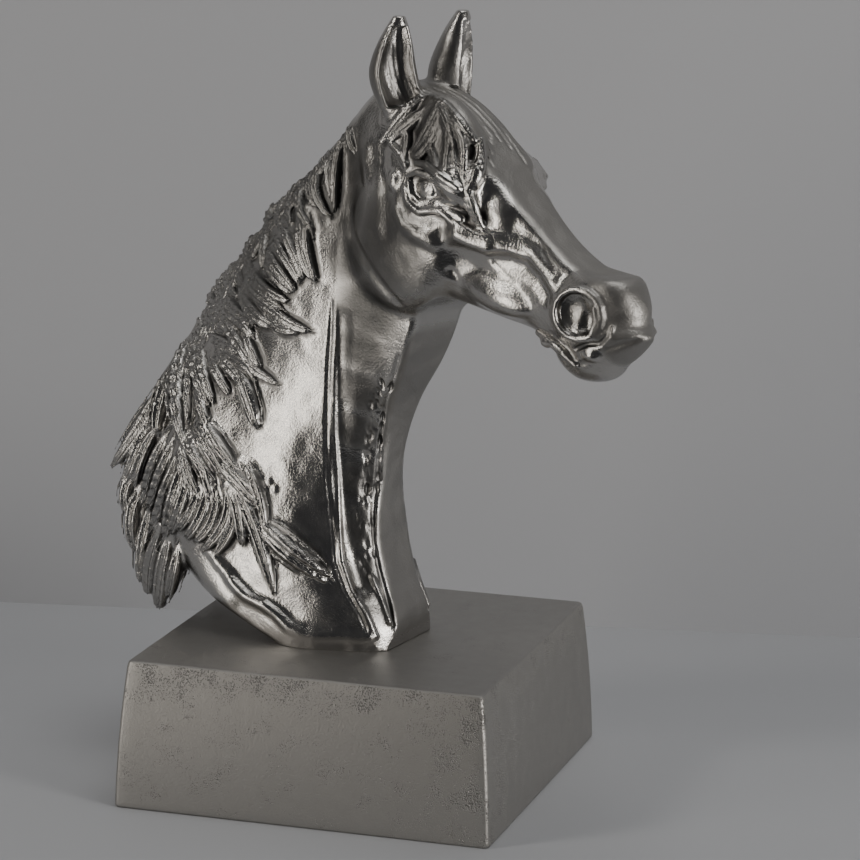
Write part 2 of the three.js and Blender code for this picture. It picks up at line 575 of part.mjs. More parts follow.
// A closed block under one level, wider than the whole grid of clay, as a solid for cutting.
function blockBelow(level) {
  const depth = (DRAWN_FOOT - LOW.z) * 2 * UNIT;
  const size = LOW.distanceTo(HIGH) * 2 * UNIT;
  const g = new THREE.BoxGeometry(size, size, depth).translate(0, 0, level - depth / 2);
  g.deleteAttribute('normal');
  g.deleteAttribute('uv');
  const index = [];
  const spots = [];
  const p = g.attributes.position;
  for (const i of g.index.array) {
    const key = [p.getX(i), p.getY(i), p.getZ(i)];
    let found = spots.findIndex((s) => s[0] === key[0] && s[1] === key[1] && s[2] === key[2]);
    if (found < 0) found = spots.push(key) - 1;
    index.push(found);
  }
  const faces = Array.from({ length: index.length / 3 }, (_, i) => index.slice(3 * i, 3 * i + 3));
  return solid(geometryOf(spots, faces));
}

const raw = surface();
const turnedPoints = raw.points.map(turned);
const kept = simplify(turnedPoints, raw.faces, BUST_FACES);
const carved = solid(geometryOf(turnedPoints, kept)).subtract(blockBelow(PLINTH_HEIGHT));
const biggest = carved.decompose().reduce((a, b) => (a.volume() > b.volume() ? a : b));
const bustGeometry = fromSolid(biggest);

// The plinth: rings of a square with rounded upright edges and slightly bowed sides.
function plinthRing(half, z, bow, round) {
  const ring = [];
  for (let side = 0; side < 4; side++) {
    const c = Math.cos(side * Math.PI / 2);
    const s = Math.sin(side * Math.PI / 2);
    for (let i = 0; i < 12; i++) {
      let u;
      let v;
      if (i < 8) {
        const t = -1 + 2 * i / 7;
        u = half + bow * (1 - t * t);
        v = (half - round) * t;
      } else {
        const a = (i - 7) / 5 * Math.PI / 2;
        u = half - round + round * Math.cos(a);
        v = half - round + round * Math.sin(a);
      }
      ring.push([u * c - v * s, u * s + v * c, z]);
    }
  }
  return ring;
}
function stack(rings) {
  const n = rings[0].length;
  const points = rings.flat();
  const faces = [];
  for (let r = 0; r < rings.length - 1; r++) {
    for (let i = 0; i < n; i++) {
      const a = r * n + i;
      const b = r * n + (i + 1) % n;
      faces.push([a, b, b + n], [a, b + n, a + n]);
    }
  }
  const cap = (at, up) => {
    const middle = points.length;
    points.push([0, 0, rings[at][0][2]]);
    for (let i = 0; i < n; i++) {
      const a = at * n + i;
      const b = at * n + (i + 1) % n;
      faces.push(up ? [middle, a, b] : [middle, b, a]);
    }
  };
  cap(0, false);
  cap(rings.length - 1, true);
  return geometryOf(points, faces);
}
const halfAt = (z) => (PLINTH_BOTTOM + (PLINTH_TOP - PLINTH_BOTTOM) * z / PLINTH_HEIGHT) / 2;
const slightBow = 0.4 * PLINTH_BOW;
const plinthRings = [
  plinthRing(halfAt(0) - PLINTH_EDGE, 0, 0, 0.6 * PLINTH_CORNER),
  plinthRing(halfAt(0), PLINTH_EDGE, slightBow, PLINTH_CORNER),
];
for (const share of [0.2, 0.4, 0.6, 0.8]) {
  const z = PLINTH_HEIGHT * share;
  const bulge = PLINTH_BOW * 4 * share * (1 - share);
  plinthRings.push(plinthRing(halfAt(z) + bulge, z, PLINTH_BOW, PLINTH_CORNER));
}
const topHalf = halfAt(PLINTH_HEIGHT);
for (const [inset, drop, corner] of [[0, 1, 1], [0.4, 0.35, 0.9], [1, 0, 0.7]]) {
  const z = PLINTH_HEIGHT - drop * PLINTH_EDGE;
  plinthRings.push(plinthRing(topHalf - inset * PLINTH_EDGE, z, slightBow, corner * PLINTH_CORNER));
}

const group = new THREE.Group();
const polished = new THREE.MeshStandardMaterial({ color: 0xc9c7c2, roughness: 0.2, metalness: 1 });
const satin = new THREE.MeshStandardMaterial({ color: 0xa9a49b, roughness: 0.5, metalness: 1 });
const bust = new THREE.Mesh(bustGeometry, polished);
bust.name = 'horse_head';
const plinth = new THREE.Mesh(stack(plinthRings), satin);
plinth.name = 'plinth';
group.add(bust, plinth);
export default group;
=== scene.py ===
# %% [markdown]
# # A cast horse head on a square plinth
# The ornament is two castings: a horse's head with its neck and mane in one bright polished piece,
# and a heavy square plinth with a satin, sand-cast skin. This lesson carves the bust like clay, gives
# both castings their metal, and sets up a small photo studio around them.

# %% Start: the frame and the tools
import math
import bpy
import numpy as np
from mathutils import Matrix, Vector


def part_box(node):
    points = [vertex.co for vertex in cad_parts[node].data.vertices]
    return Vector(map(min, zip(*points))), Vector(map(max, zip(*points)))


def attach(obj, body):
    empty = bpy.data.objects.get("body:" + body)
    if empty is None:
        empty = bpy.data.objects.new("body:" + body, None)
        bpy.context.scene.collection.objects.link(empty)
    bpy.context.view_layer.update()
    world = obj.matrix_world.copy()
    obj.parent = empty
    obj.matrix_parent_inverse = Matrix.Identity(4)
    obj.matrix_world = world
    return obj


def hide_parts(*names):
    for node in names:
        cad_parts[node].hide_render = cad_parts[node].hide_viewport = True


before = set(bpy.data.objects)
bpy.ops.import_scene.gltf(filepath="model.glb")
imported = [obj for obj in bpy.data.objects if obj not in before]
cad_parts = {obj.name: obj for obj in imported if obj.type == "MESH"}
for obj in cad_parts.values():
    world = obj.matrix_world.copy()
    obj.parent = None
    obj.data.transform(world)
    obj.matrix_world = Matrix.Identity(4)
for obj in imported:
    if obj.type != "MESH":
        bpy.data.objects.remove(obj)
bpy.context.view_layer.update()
plinth_low, plinth_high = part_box("plinth")
bust_low, bust_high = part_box("horse_head")
PER_METRE = 1000
PLINTH_TOP_Z = plinth_high[2] * PER_METRE
BUST_TOP_Z = bust_high[2] * PER_METRE


def put(name, data):
    """Place a new object at the origin of the scene."""
    thing = bpy.data.objects.new(name, data)
    bpy.context.scene.collection.objects.link(thing)
    return thing


def put_mesh(name, points, faces):
    """A new mesh object with smooth faces, from points in metres."""
    mesh = bpy.data.meshes.new(name)
    mesh.from_pydata(points, [], faces)
    mesh.polygons.foreach_set("use_smooth", np.ones(len(faces), bool))
    return put(name, mesh)


print("plinth", plinth_low, plinth_high)
print("bust", bust_low, bust_high)

# %% [markdown]
# ## The camera
# The picture was taken a little above the plinth's top, from the front left, with a long lens.
# The camera looks along a line given by two angles, and rolls by about half a degree. The angles, the
# distance and the aim were found from the corners of the plinth in the photograph.

# %% Camera
CAMERA_TURN = math.radians(17.39)
CAMERA_RISE = math.radians(12.66)
CAMERA_ROLL = math.radians(0.64)
CAMERA_FAR = 1575.4
AIM_ACROSS, AIM_UP = 27.69, 145.24
PICTURE = 860
FOCAL_PIXELS = 3700
SENSOR = 36
LENS = FOCAL_PIXELS * SENSOR / PICTURE

away = Vector((math.sin(CAMERA_TURN) * math.cos(CAMERA_RISE),
               -math.cos(CAMERA_TURN) * math.cos(CAMERA_RISE), math.sin(CAMERA_RISE)))
level = Vector((math.cos(CAMERA_TURN), math.sin(CAMERA_TURN), 0))
upward = away.cross(level)
across = math.cos(CAMERA_ROLL) * level + math.sin(CAMERA_ROLL) * upward
upright = math.cos(CAMERA_ROLL) * upward - math.sin(CAMERA_ROLL) * level
camera_spot = level * AIM_ACROSS + upward * AIM_UP + away * CAMERA_FAR

camera_data = bpy.data.cameras.new("camera")
camera_data.lens = LENS
camera_data.sensor_width = SENSOR
camera_data.clip_end = 20
camera = put("camera", camera_data)
camera.matrix_world = Matrix((
    (across.x, upright.x, away.x, camera_spot.x / PER_METRE),
    (across.y, upright.y, away.y, camera_spot.y / PER_METRE),
    (across.z, upright.z, away.z, camera_spot.z / PER_METRE),
    (0, 0, 0, 1)))
bpy.context.scene.camera = camera
print("camera at", [round(v / PER_METRE, 3) for v in camera_spot], "lens", round(LENS, 1))

# %% [markdown]
# ## Clay on a grid
# A horse is all soft swellings that run into each other, so it is easier to carve than to build from
# faces. Every point of a grid holds a number, negative inside the metal and positive outside. Shapes
# are joined on or cut out with a soft border, as a thumb presses clay. Lengths are in millimetres, and
# the horse is carved looking straight along +X; it is turned at the end.

# %% The grid and soft joins
CELL = 0.68
GRID_LOW = np.array([-128.0, -43.0, 58.0])
GRID_HIGH = np.array([172.0, 43.0, 331.0])
counts = np.ceil((GRID_HIGH - GRID_LOW) / CELL).astype(int) + 1
axis_points = [(GRID_LOW[a] + CELL * np.arange(counts[a])).astype(np.float32) for a in range(3)]
FOOT_Z = 62.0


def join(a, b, k):
    """Both shapes in one, with a soft border k wide."""
    h = np.maximum(k - np.abs(a - b), 0)
    return np.minimum(a, b) - h * h * (0.25 / k)


def meet(a, b, k):
    """Only what lies in both shapes."""
    return -join(-a, -b, k)


def cut(a, b, k):
    """Shape a with shape b taken out."""
    return -join(-a, b, k)


def ease(a, b, x):
    """A smooth step that goes from 0 at a to 1 at b."""
    t = np.clip((x - a) / (b - a), 0, 1)
    return t * t * (3 - 2 * t)


print("grid of", counts, "points,", round(float(np.prod(counts)) / 1e6, 1), "million")

# %% [markdown]
# ## Smooth lines through a few stations
# A profile is drawn by a few stations, such as how wide the neck is at some heights. A cubic line runs
# through them without corners. It can also run through whole rows of numbers at once.

# %% Lines through stations
def through(places, rows, at):
    """rows[i] holds the values at places[i]; each point of 'at' reads between its two rows."""
    x = np.array(places, float)
    y = np.array(np.broadcast_arrays(*rows), float)
    width = np.diff(x)
    slope = np.array([(y[i + 1] - y[i]) / width[i] for i in range(len(x) - 1)])
    lean = np.empty_like(y)
    lean[0] = slope[0]
    lean[-1] = slope[-1]
    for i in range(1, len(x) - 1):
        lean[i] = (slope[i - 1] * width[i] + slope[i] * width[i - 1]) / (width[i - 1] + width[i])
    p = np.clip(at, x[0], x[-1])
    i = np.clip(np.searchsorted(x, p, side="right") - 1, 0, len(x) - 2)
    h = x[i + 1] - x[i]
    u = (p - x[i]) / h
    v = 1 - u

    def pick(a, k):
        return np.take_along_axis(a, k[None], 0)[0] if a.ndim > 1 else a[k]

    return ((1 + 2 * u) * v * v * pick(y, i) + u * v * v * h * pick(lean, i)
            + u * u * (3 - 2 * u) * pick(y, i + 1) - u * u * v * h * pick(lean, i + 1))


def line(*stations):
    places, values = zip(*stations)
    return lambda at: through(places, values, np.asarray(at, float))


# %% [markdown]
# ## The neck
# The neck is drawn by height. It has a narrow flat strip in front, a crisp ridge beside the windpipe,
# a broad side panel and a thin crest. The rows of half widths run from the strip to the crest.

# %% Neck profile
NECK_HEIGHTS = [55, 62, 68, 76, 85, 110, 135, 165, 185, 200, 235, 262, 285, 300]
NECK_FRONT = [24, 24, 25.6, 25.4, 22.4, 17, 18.2, 27.2, 38.5, 45, 52, 50, 42, 34]
NECK_RIDGE = [21, 21, 19.5, 17, 13, 5.2, 3, 4.8, 6.5, 8, 10, 14, 20, 24]
NECK_BACK = [-25, -27, -43, -62, -76, -91, -95, -90, -82, -77, -46, -14, 13, 28]
NECK_WIDTHS = [
    [21.5, 21, 17, 14.5, 12.8, 11.5, 7, 9, 12, 13.5, 14, 14, 13, 9],
    [22.5, 22.5, 24, 25, 25, 23.5, 22.5, 22.5, 22.8, 22.5, 21.5, 18, 14, 9],
    [27, 28.5, 29, 30, 30.8, 30.2, 29.2, 27.6, 26.4, 25.4, 22.4, 19, 14, 9],
    [33, 34, 34, 33, 32, 30.4, 29.4, 28, 26.8, 25.6, 22, 18, 13, 8],
    [35, 35, 34, 33, 31, 27, 24, 21, 19, 17, 14, 12, 9, 7],
    [30, 30, 25, 22, 18, 12, 9, 8, 7.5, 7, 7, 7, 6, 5],
]


def by_height(values):
    return line(*zip(NECK_HEIGHTS, values))


neck_front = by_height(NECK_FRONT)
neck_ridge = by_height(NECK_RIDGE)
neck_back = by_height(NECK_BACK)
neck_widths = [by_height(v) for v in NECK_WIDTHS]


def neck_half(x, z):
    """How far the neck's side lies from the middle plane."""
    x, z = np.broadcast_arrays(np.atleast_1d(np.asarray(x, float)), np.asarray(z, float))
    front, ridge, back = neck_front(z), neck_ridge(z), neck_back(z)
    w = [f(z) for f in neck_widths]
    u = np.clip((x - ridge) / np.maximum(3, front - ridge), 0, 1)
    strip = w[1] + (w[0] - w[1]) * u - 2.2 * u * (1 - u)
    v = np.clip((ridge - x) / (ridge - back), 0, 1)
    panel = through([0, 0.2, 0.5, 0.8, 1], w[1:], v)
    return np.where(x > ridge, strip, panel)


# %% [markdown]
# ## The head
# The head is drawn along the face, from the poll between the ears down to the muzzle. One number runs
# along the face and one runs from the face to the jaw. The rows of half widths run the same way.

# %% Head profile
FACE_SLOPE = math.radians(38)
POLL_X, POLL_Z = 40.0, 309.0
COS_SLOPE, SIN_SLOPE = math.cos(FACE_SLOPE), math.sin(FACE_SLOPE)


def along_face(x, z):
    return (x - POLL_X) * COS_SLOPE - (z - POLL_Z) * SIN_SLOPE


def deep_face(x, z):
    return -(x - POLL_X) * SIN_SLOPE - (z - POLL_Z) * COS_SLOPE


def on_face(s, t, y):
    return (POLL_X + s * COS_SLOPE - t * SIN_SLOPE, y, POLL_Z - s * SIN_SLOPE - t * COS_SLOPE)


face_top = line((-12, 24), (0, 14), (15, 5.5), (25, 2.8), (35, 2), (48, 2.2), (76, 3.8), (87, 4.1),
                (101, 3.8), (113, 2.1), (122, -0.5), (129, -6), (134, -10), (142, -11), (150, -9),
                (160, -3))
face_jaw = line((-12, 50), (0, 59), (15, 66), (29, 72), (50, 79.5), (63, 74.5), (78, 60), (87, 55),
                (99, 48.5), (117, 39), (124, 37.5), (135, 38.5), (144, 36), (153, 24), (160, 12))
HEAD_PLACES = [-12, 5, 25, 42, 58, 75, 92, 108, 120, 132, 145, 158]
HEAD_WIDTHS = [
    [9, 11, 13, 14.5, 13.5, 11, 9.5, 9.5, 10, 11, 10.5, 7],
    [13, 17, 21, 22.5, 20, 16, 13, 12, 13, 14.5, 14.5, 12],
    [15, 18, 21.5, 22.5, 21.5, 18, 14, 12.5, 12.5, 13.5, 14, 11],
    [12, 13, 14, 13, 12, 11, 9, 7.5, 7.5, 7.5, 6, 4],
]
head_widths = [line(*zip(HEAD_PLACES, row)) for row in HEAD_WIDTHS]
muzzle_front = line((190, 141), (198, 149), (205, 156.5), (209.5, 160.6), (213, 163.4), (217.5, 160.4),
                    (223, 160.4), (231, 158.8), (240, 154.6))


def head_half(x, z):
    x, z = np.broadcast_arrays(np.atleast_1d(np.asarray(x, float)), np.asarray(z, float))
    s = along_face(x, z)
    top = face_top(s)
    v = np.clip((deep_face(x, z) - top) / (face_jaw(s) - top), 0, 1)
    return through([0, 0.28, 0.6, 1], [f(s) for f in head_widths], v)


# %% [markdown]
# ## The first clay
# Neck and skull are each cut from a slab by their profiles, and then joined. A factor below 1 makes up
# for a slanting side, so that the number stays close to the true distance from the surface.

# %% Lay the first clay
NECK_TOP_Z = 288
SKULL_START = -8
px, py, pz = axis_points
side_x, side_z = np.meshgrid(px.astype(float), pz.astype(float), indexing="ij")


def flat(a):
    return np.asarray(a, np.float32)[:, None, :]


half = flat(neck_half(side_x, side_z))
sy = np.abs(py)[None, :, None]
clay = (sy - half) * np.float32(0.9)
clay = meet(clay, flat((side_x - neck_front(side_z)) * 0.9), 3)
clay = meet(clay, flat((neck_back(side_z) - side_x) * 0.75), 9)
clay = meet(clay, flat(side_z - NECK_TOP_Z), 8)
s_map = along_face(side_x, side_z)
t_map = deep_face(side_x, side_z)
skull = (sy - flat(head_half(side_x, side_z))) * np.float32(0.93)
skull = meet(skull, flat(face_top(s_map) - t_map), 4)
skull = meet(skull, flat((t_map - face_jaw(s_map)) * 0.9), 8)
skull = meet(skull, flat(side_x - muzzle_front(side_z)) + 0.06 * sy * sy, 8)
skull = meet(skull, flat(SKULL_START - s_map), 6)
clay = join(clay, skull, 7).astype(np.float32)
del skull, half
print("first clay laid")

# %% [markdown]
# ## Tools that press the clay
# An egg makes a muscle or a hollow, and a cord makes a ridge, a fold or a groove. Each one works only
# inside its own box, so that it is quick.

# %% Work inside a box
BOTH = (-1, 1)
NEAR, FAR = (-1,), (1,)


def grid_box(low, high, spare):
    """The part of the grid inside a box, and its points."""
    where = []
    spots = []
    for a in range(3):
        first = max(0, int((low[a] - spare - GRID_LOW[a]) / CELL))
        last = min(int(counts[a]), int((high[a] + spare - GRID_LOW[a]) / CELL) + 2)
        if last <= first:
            return None
        where.append(slice(first, last))
        spots.append(axis_points[a][first:last])
    return tuple(where), np.meshgrid(*spots, indexing="ij", sparse=True)


def press(low, high, k, tool, shape):
    """Join or cut a shape, in its own box only."""
    found = grid_box(low, high, k)
    if found:
        where, spots = found
        clay[where] = tool(clay[where], shape(*spots), k)


# %% Egg
def egg(tool, k, middle, radii, tip=0.0, sides=BOTH):
    """An egg around a middle, tipped nose down by 'tip' degrees."""
    rx, ry, rz = radii
    reach = max(radii)
    ca, sa = math.cos(math.radians(tip)), math.sin(math.radians(tip))
    for side in sides:
        m = (middle[0], side * middle[1], middle[2])

        def shape(x, y, z):
            u = (x - m[0]) * ca - (z - m[2]) * sa
            w = (x - m[0]) * sa + (z - m[2]) * ca
            v = y - m[1]
            p = np.sqrt((u / rx) ** 2 + (v / ry) ** 2 + (w / rz) ** 2)
            q = np.sqrt((u / rx / rx) ** 2 + (v / ry / ry) ** 2 + (w / rz / rz) ** 2) + 1e-6
            return p * (p - 1) / q

        press([c - reach for c in m], [c + reach for c in m], k, tool, shape)


# %% Cord
def cord(tool, k, points, sides=BOTH):
    """A rounded cord through points (x, y, z, radius)."""
    p = np.array(points, float)
    for side in sides:
        q = p * np.array([1, side, 1, 1])
        low = (q[:, :3] - q[:, 3:]).min(0)
        high = (q[:, :3] + q[:, 3:]).max(0)

        def shape(x, y, z):
            best = None
            for a, b in zip(q[:-1], q[1:]):
                d = b[:3] - a[:3]
                size = float(d @ d) + 1e-9
                u = np.clip(((x - a[0]) * d[0] + (y - a[1]) * d[1] + (z - a[2]) * d[2]) / size, 0, 1)
                gap = np.sqrt((x - a[0] - d[0] * u) ** 2 + (y - a[1] - d[1] * u) ** 2
                              + (z - a[2] - d[2] * u) ** 2) - (a[3] + (b[3] - a[3]) * u)
                best = gap if best is None else np.minimum(best, gap)
            return best.astype(np.float32)

        press(low, high, k, tool, shape)


# %% [markdown]
# ## Muscles and bones
# Jaw plate, brow, cheek bone, hollows and the long ridge of the neck. These give the head its planes,
# and on a mirror finish every one of them shows as a band of light.

# %% Jaw, cheek and brow
egg(join, 7, (43, 17, 237), (27, 9.5, 27))
egg(join, 6, on_face(55, 14, 15.5), (13, 10.5, 8), 38)
egg(cut, 6, on_face(30, 14, 25.5), (8, 4.5, 6), 38)
cord(join, 5, [(40, 20, 243, 4), (55, 21.5, 244, 4.2), (74, 19.6, 245, 4), (92, 15.5, 243, 3.5),
               (108, 11, 238, 3), (122, 10, 231, 3)])
cord(join, 3, [(48, 24.5, 250, 2.4), (54, 24.8, 247, 3.4), (60, 24.4, 243.8, 3.6),
               (66, 22.4, 240.4, 3)])
cord(join, 3, [(79, 21, 245, 3), (84.5, 19.2, 242.6, 3), (91, 17.2, 241, 2.6)])
egg(cut, 2.5, (73, 26.6, 243.6), (4, 4, 5.4), -10)
egg(join, 4, (91.5, 9.5, 252.5), (7, 5.5, 5.5), 38)
cord(join, 2.5, [(92, 16, 240.5, 2.6), (97, 12, 243.5, 3), (104, 9.6, 242.8, 3.2),
                 (112.5, 9.8, 238.3, 2.8), (119, 11.5, 233, 2), (124, 12.6, 228.5, 1.2)])
egg(cut, 6, on_face(84, 37, 21.5), (12, 6, 8), 30)
cord(cut, 4, [(94.7, 18, 235, 2), (101.4, 16.4, 235.8, 2.8), (108.5, 15.2, 234.6, 2.8),
              (114.6, 15, 230.4, 2.4), (119.4, 15, 225, 2)])
cord(cut, 1, [(92.3, 15, 234.1, 0.6), (97, 14.8, 231.2, 0.8), (102.1, 14.6, 227.9, 0.5)])
egg(join, 3, (91.5, 10.6, 221.4), (18.5, 6.6, 7.6), 12)
cord(cut, 2, [(71.5, 18, 228, 1.4), (74.5, 18, 223.3, 1.8), (77, 17, 218.5, 1.2)])
cord(cut, 3, [(18, 24, 262, 1.8), (15.7, 23.6, 246, 2.4), (18, 24.6, 236.5, 2.4), (24, 25.8, 230.5, 2.4),
              (31.5, 26.4, 224, 2.3), (38, 25.4, 217.8, 2.2), (44, 23, 211.6, 2)])
cord(cut, 6, [(41, 28.4, 262, 2), (43.5, 30.4, 252, 2.8), (43.5, 30.8, 243, 2.4)])
cord(cut, 5, [(34, 23.6, 275, 1.6), (36, 25.2, 266, 2), (40, 27, 259, 1.8)])
cord(join, 5, [(24, 17.4, 271.5, 1.8), (25, 17.9, 266.3, 2.3), (26.5, 19, 261.5, 1.8)])
egg(join, 2, (44.4, 22.6, 261.7), (3.6, 3.4, 4))
egg(cut, 1, (43.2, 26.6, 262.6), (1.5, 1.5, 2))
cord(join, 2, [(40.3, 21.6, 276.1, 1.1), (45.7, 22.4, 273.2, 1.3), (50.5, 23, 268.6, 1)])

# %% [markdown]
# ## The eye
# The ball sits in a hollow, with a thin ring for the iris. Two lids, a tear fold that runs down toward
# the cheek, and two folds of the brow lie around it.

# %% Eye: socket, ball, iris ring, lids, tear fold and brow
egg(cut, 4, on_face(48, 25, 27.2), (10, 3.4, 7), 30)
egg(join, 1.8, on_face(47, 25, 17.3), (6.2, 6.6, 6.2))
eye_x, eye_y, eye_z = on_face(47, 25, 17.3)
turns = np.linspace(0, 2 * math.pi, 17)
cord(join, 0.6, [(eye_x + 1 + 2.9 * math.cos(a), eye_y + 5.3, eye_z + 2.9 * math.sin(a), 0.42)
                 for a in turns])
egg(join, 0.5, (eye_x + 1, eye_y + 5.6, eye_z), (1.1, 1, 1.1))
cord(join, 2, [(57, 22.4, 254.4, 1.3), (62, 22.6, 253.2, 1.6), (68, 22.2, 254.4, 1.6),
               (74, 21.6, 253.2, 1.5), (80, 20.2, 251, 1.2)])
cord(join, 1.4, [(53.5, 24.2, 263, 0.8), (54.6, 24, 257.7, 1), (59.3, 23.7, 254.8, 1.1),
                 (64.6, 22.4, 255.5, 1.1), (69, 21.8, 257, 1), (76.8, 22.2, 256.7, 0.9),
                 (81.7, 20.8, 256, 0.7)])
cord(join, 1.6, [(51.6, 24.4, 260, 0.9), (54, 25.2, 254.3, 1.1), (60.5, 25.2, 251.4, 1.2),
                 (66.5, 24, 252.6, 1.2), (71.4, 23.4, 252.6, 1.1), (76, 22, 249.4, 1.1),
                 (83, 20.7, 247, 1), (91, 18.6, 243.6, 0.6)])
cord(cut, 3, [(50, 28.2, 255, 1.6), (56, 28.8, 248.8, 2), (62.2, 28.4, 247.2, 2.2), (68.5, 27.4, 248, 1.8)])
cord(join, 1.5, [(54, 25, 265, 1.1), (59.8, 25.6, 267.2, 1.4), (65.9, 25.4, 266.4, 1.5),
                 (73.1, 25.2, 264.1, 1.4), (79.1, 24, 262, 1.2), (84, 21.5, 259.5, 0.9)])
cord(join, 1.2, [(56.2, 22.8, 270.4, 1.2), (64.1, 25, 270.6, 1.7), (72.8, 26.2, 267.6, 1.8),
                 (81.5, 24, 263.2, 1.3)])
cord(cut, 1.6, [(80, 22.2, 255, 0.8), (84, 20.2, 251.2, 0.8), (89, 18.8, 247, 0.5)])

# %% [markdown]
# ## The muzzle
# The nostril is a wide ring around a deep bowl. Lips, mouth corner and chin are small swellings and
# grooves below it.

# %% Muzzle: nostril, lips, mouth corner and chin
egg(join, 5, (136, 8.6, 221), (12.5, 8, 12))
cord(join, 1.2, [(139.6 + 9.6 * math.cos(a), 15.4 - 2.8 * math.cos(a), 220.8 + 9.6 * math.sin(a), 1.6)
                 for a in turns])
egg(cut, 1.2, (139.8, 18.2, 221), (8.5, 5.2, 8.4))
egg(cut, 1.5, (142.5, 14.6, 218.5), (4, 3.6, 5))
cord(join, 1, [(147, 14.6, 224, 0.9), (147.6, 13.8, 219, 1.3), (145.8, 14.4, 214.5, 1)])
egg(join, 5, (133.5, 2, 201), (13, 8, 7), 10)
cord(cut, 1.6, [(170, 0, 213.2, 1.5), (164, 4, 212.9, 1.4), (157.5, 8.6, 211, 1.4), (151.5, 12.2, 208, 1.4),
                (148.6, 12.8, 204.6, 1.3), (143, 12.4, 201.2, 1.2), (137, 12.6, 200.2, 1)])
egg(join, 1.2, (143, 11, 205.3), (4.2, 3.2, 3.1))
cord(cut, 1.2, [(136.1, 13, 206.3, 0.9), (142.7, 13.6, 209.4, 1.1), (148.5, 12.6, 210.2, 1.1),
                (152.4, 12.4, 214, 0.7)])
cord(join, 1, [(153.6, 11, 217.3, 0.7), (153.2, 11.2, 213.4, 0.9), (149, 11, 210, 0.7)])
cord(join, 1.2, [(113, 10, 209, 1.4), (118, 11, 208, 1.9), (124, 12, 206.2, 2.1), (130, 12.4, 203.6, 2.1),
                 (135.5, 12.2, 199.8, 1)])
cord(cut, 1.2, [(119, 13.8, 211.8, 1.2), (125, 14, 209.8, 1.3), (131, 14, 207.2, 1.3), (135, 13.2, 203, 1)])
egg(join, 2, (119, 11, 206), (2.8, 2.4, 2))

# %% [markdown]
# ## Lines on the neck
# A thin raised bead runs down beside the windpipe, with a groove behind it. It fades out at its top.
# Between it and the flat front strip lie a smooth trough and a ledge: a rough, pitted line where the two
# halves of the mould met. A low hem runs around the foot.

# %% Paths on the neck
BEAD = [(8.7, 208), (7.9, 191.6), (6.5, 174.7), (4.5, 153.5), (3.6, 132.7), (4.7, 114.4), (6.4, 99),
        (11, 87.1), (16.8, 78.2), (20.4, 69)]
TROUGH = [(12.6, 200.4), (10.4, 166.4), (8, 132.3), (10.4, 108), (15.4, 90.5)]
LEDGE = [(38, 12, 188), (32.7, 10, 177.2), (26.8, 8.6, 167.5), (23, 7.4, 157.9), (20, 6.6, 148.7),
         (18, 6.8, 135.4), (16.8, 7.8, 126.8), (16.4, 9.4, 118.9), (16.6, 11, 106.8), (19.2, 11.8, 94.4),
         (23, 12.4, 82), (25.6, 13.4, 71.7)]


def near_side(x, z):
    """How far from the middle plane the near side of the clay lies at one place."""
    column = clay[round((x - GRID_LOW[0]) / CELL), ::-1, round((z - GRID_LOW[2]) / CELL)]
    j = np.nonzero(column < 0)[0][-1]
    return float(-py[::-1][j]) + CELL * float(column[j] / (column[j] - column[j + 1] - 1e-6))


def beside(path, dx, lift, radius):
    """A path of (x, z) laid on the skin: dx further forward and lifted off it."""
    return [(x + dx, near_side(x + dx, z) + lift, z, radius) for x, z in path]


# %% Trough, bead and ledge
BEAD_FADE = [0.1, 0.7] + [1] * (len(BEAD) - 2)
cord(cut, 4, beside(TROUGH, 0, 4.7, 4.6))
for tool, k, dx, lift, radius in ((cut, 0.9, -2.1, 0.5, 0.95), (join, 1.4, 0, 0, 0.8)):
    cord(tool, k, [(x, y - radius * (1 - fade), z, r * fade)
                   for (x, y, z, r), fade in zip(beside(BEAD, dx, lift, radius), BEAD_FADE)])
cord(cut, 1, [(x - 1.2, y + 1.4, z, 0.8 + 0.4 * math.sin(0.7 * z)) for x, y, z in LEDGE])

# %% Mould pits and hem
MOULD_PITS = 80
dice = np.random.default_rng(7)
for _ in range(MOULD_PITS):
    at = dice.uniform(0.1, 0.86) * (len(LEDGE) - 1)
    i = int(at)
    ledge_x, _, z = np.array(LEDGE[i]) * (1 - at + i) + np.array(LEDGE[i + 1]) * (at - i)
    x = ledge_x - dice.uniform(0.6, 1) * dice.uniform(1.2, 7)
    y = near_side(x, z) + dice.uniform(-0.2, 0.9)
    size = dice.uniform(0.45, 1.0)
    egg(cut, 1.2, (x, y, z), (size * 0.7, size * 0.6, size * 1.8), dice.uniform(-20, 20), NEAR)
cord(join, 1, beside([(16.9, 92.2), (20.7, 82.9), (24.4, 74)], -0.6, 0.1, 1.1))
cord(join, 4, [(-55, 30.4, 98, 0.4), (-46, 32, 90, 0.8), (-41.9, 33.4, 85.9, 1.2),
               (-35.7, 33.6, 81, 1.4), (-27, 34, 78.4, 1.5), (-21.1, 33.8, 75.4, 1.5),
               (-15, 33.6, 70.6, 1.5), (-8, 32.4, 67.8, 1.4), (-1, 30.9, 67.6, 1.3),
               (8.3, 27.2, 68, 1.2), (18, 24.4, 68.4, 1)])
cord(cut, 6, [(-38, 38.2, 75, 2.8), (-30, 38.8, 70.6, 3.4), (-22, 39.2, 66, 3.6),
              (-14, 38.8, 61.4, 3.4), (-3, 36.8, 61, 3), (9, 32.4, 62, 2.6)])
for x, z, size in ((-25, 129, 1.6), (-22, 127, 1.2), (-27, 126, 1), (-15, 108, 1.3), (-13, 104, 1)):
    egg(join, 1.2, (x, near_side(x, z) - 0.3, z), (size, 0.8, size * 1.3), 20, NEAR)

# %% [markdown]
# ## The ears
# Each ear is a leaf-shaped tube that narrows to its tip, with a ribbed bowl cut into the side that looks
# forward and out.

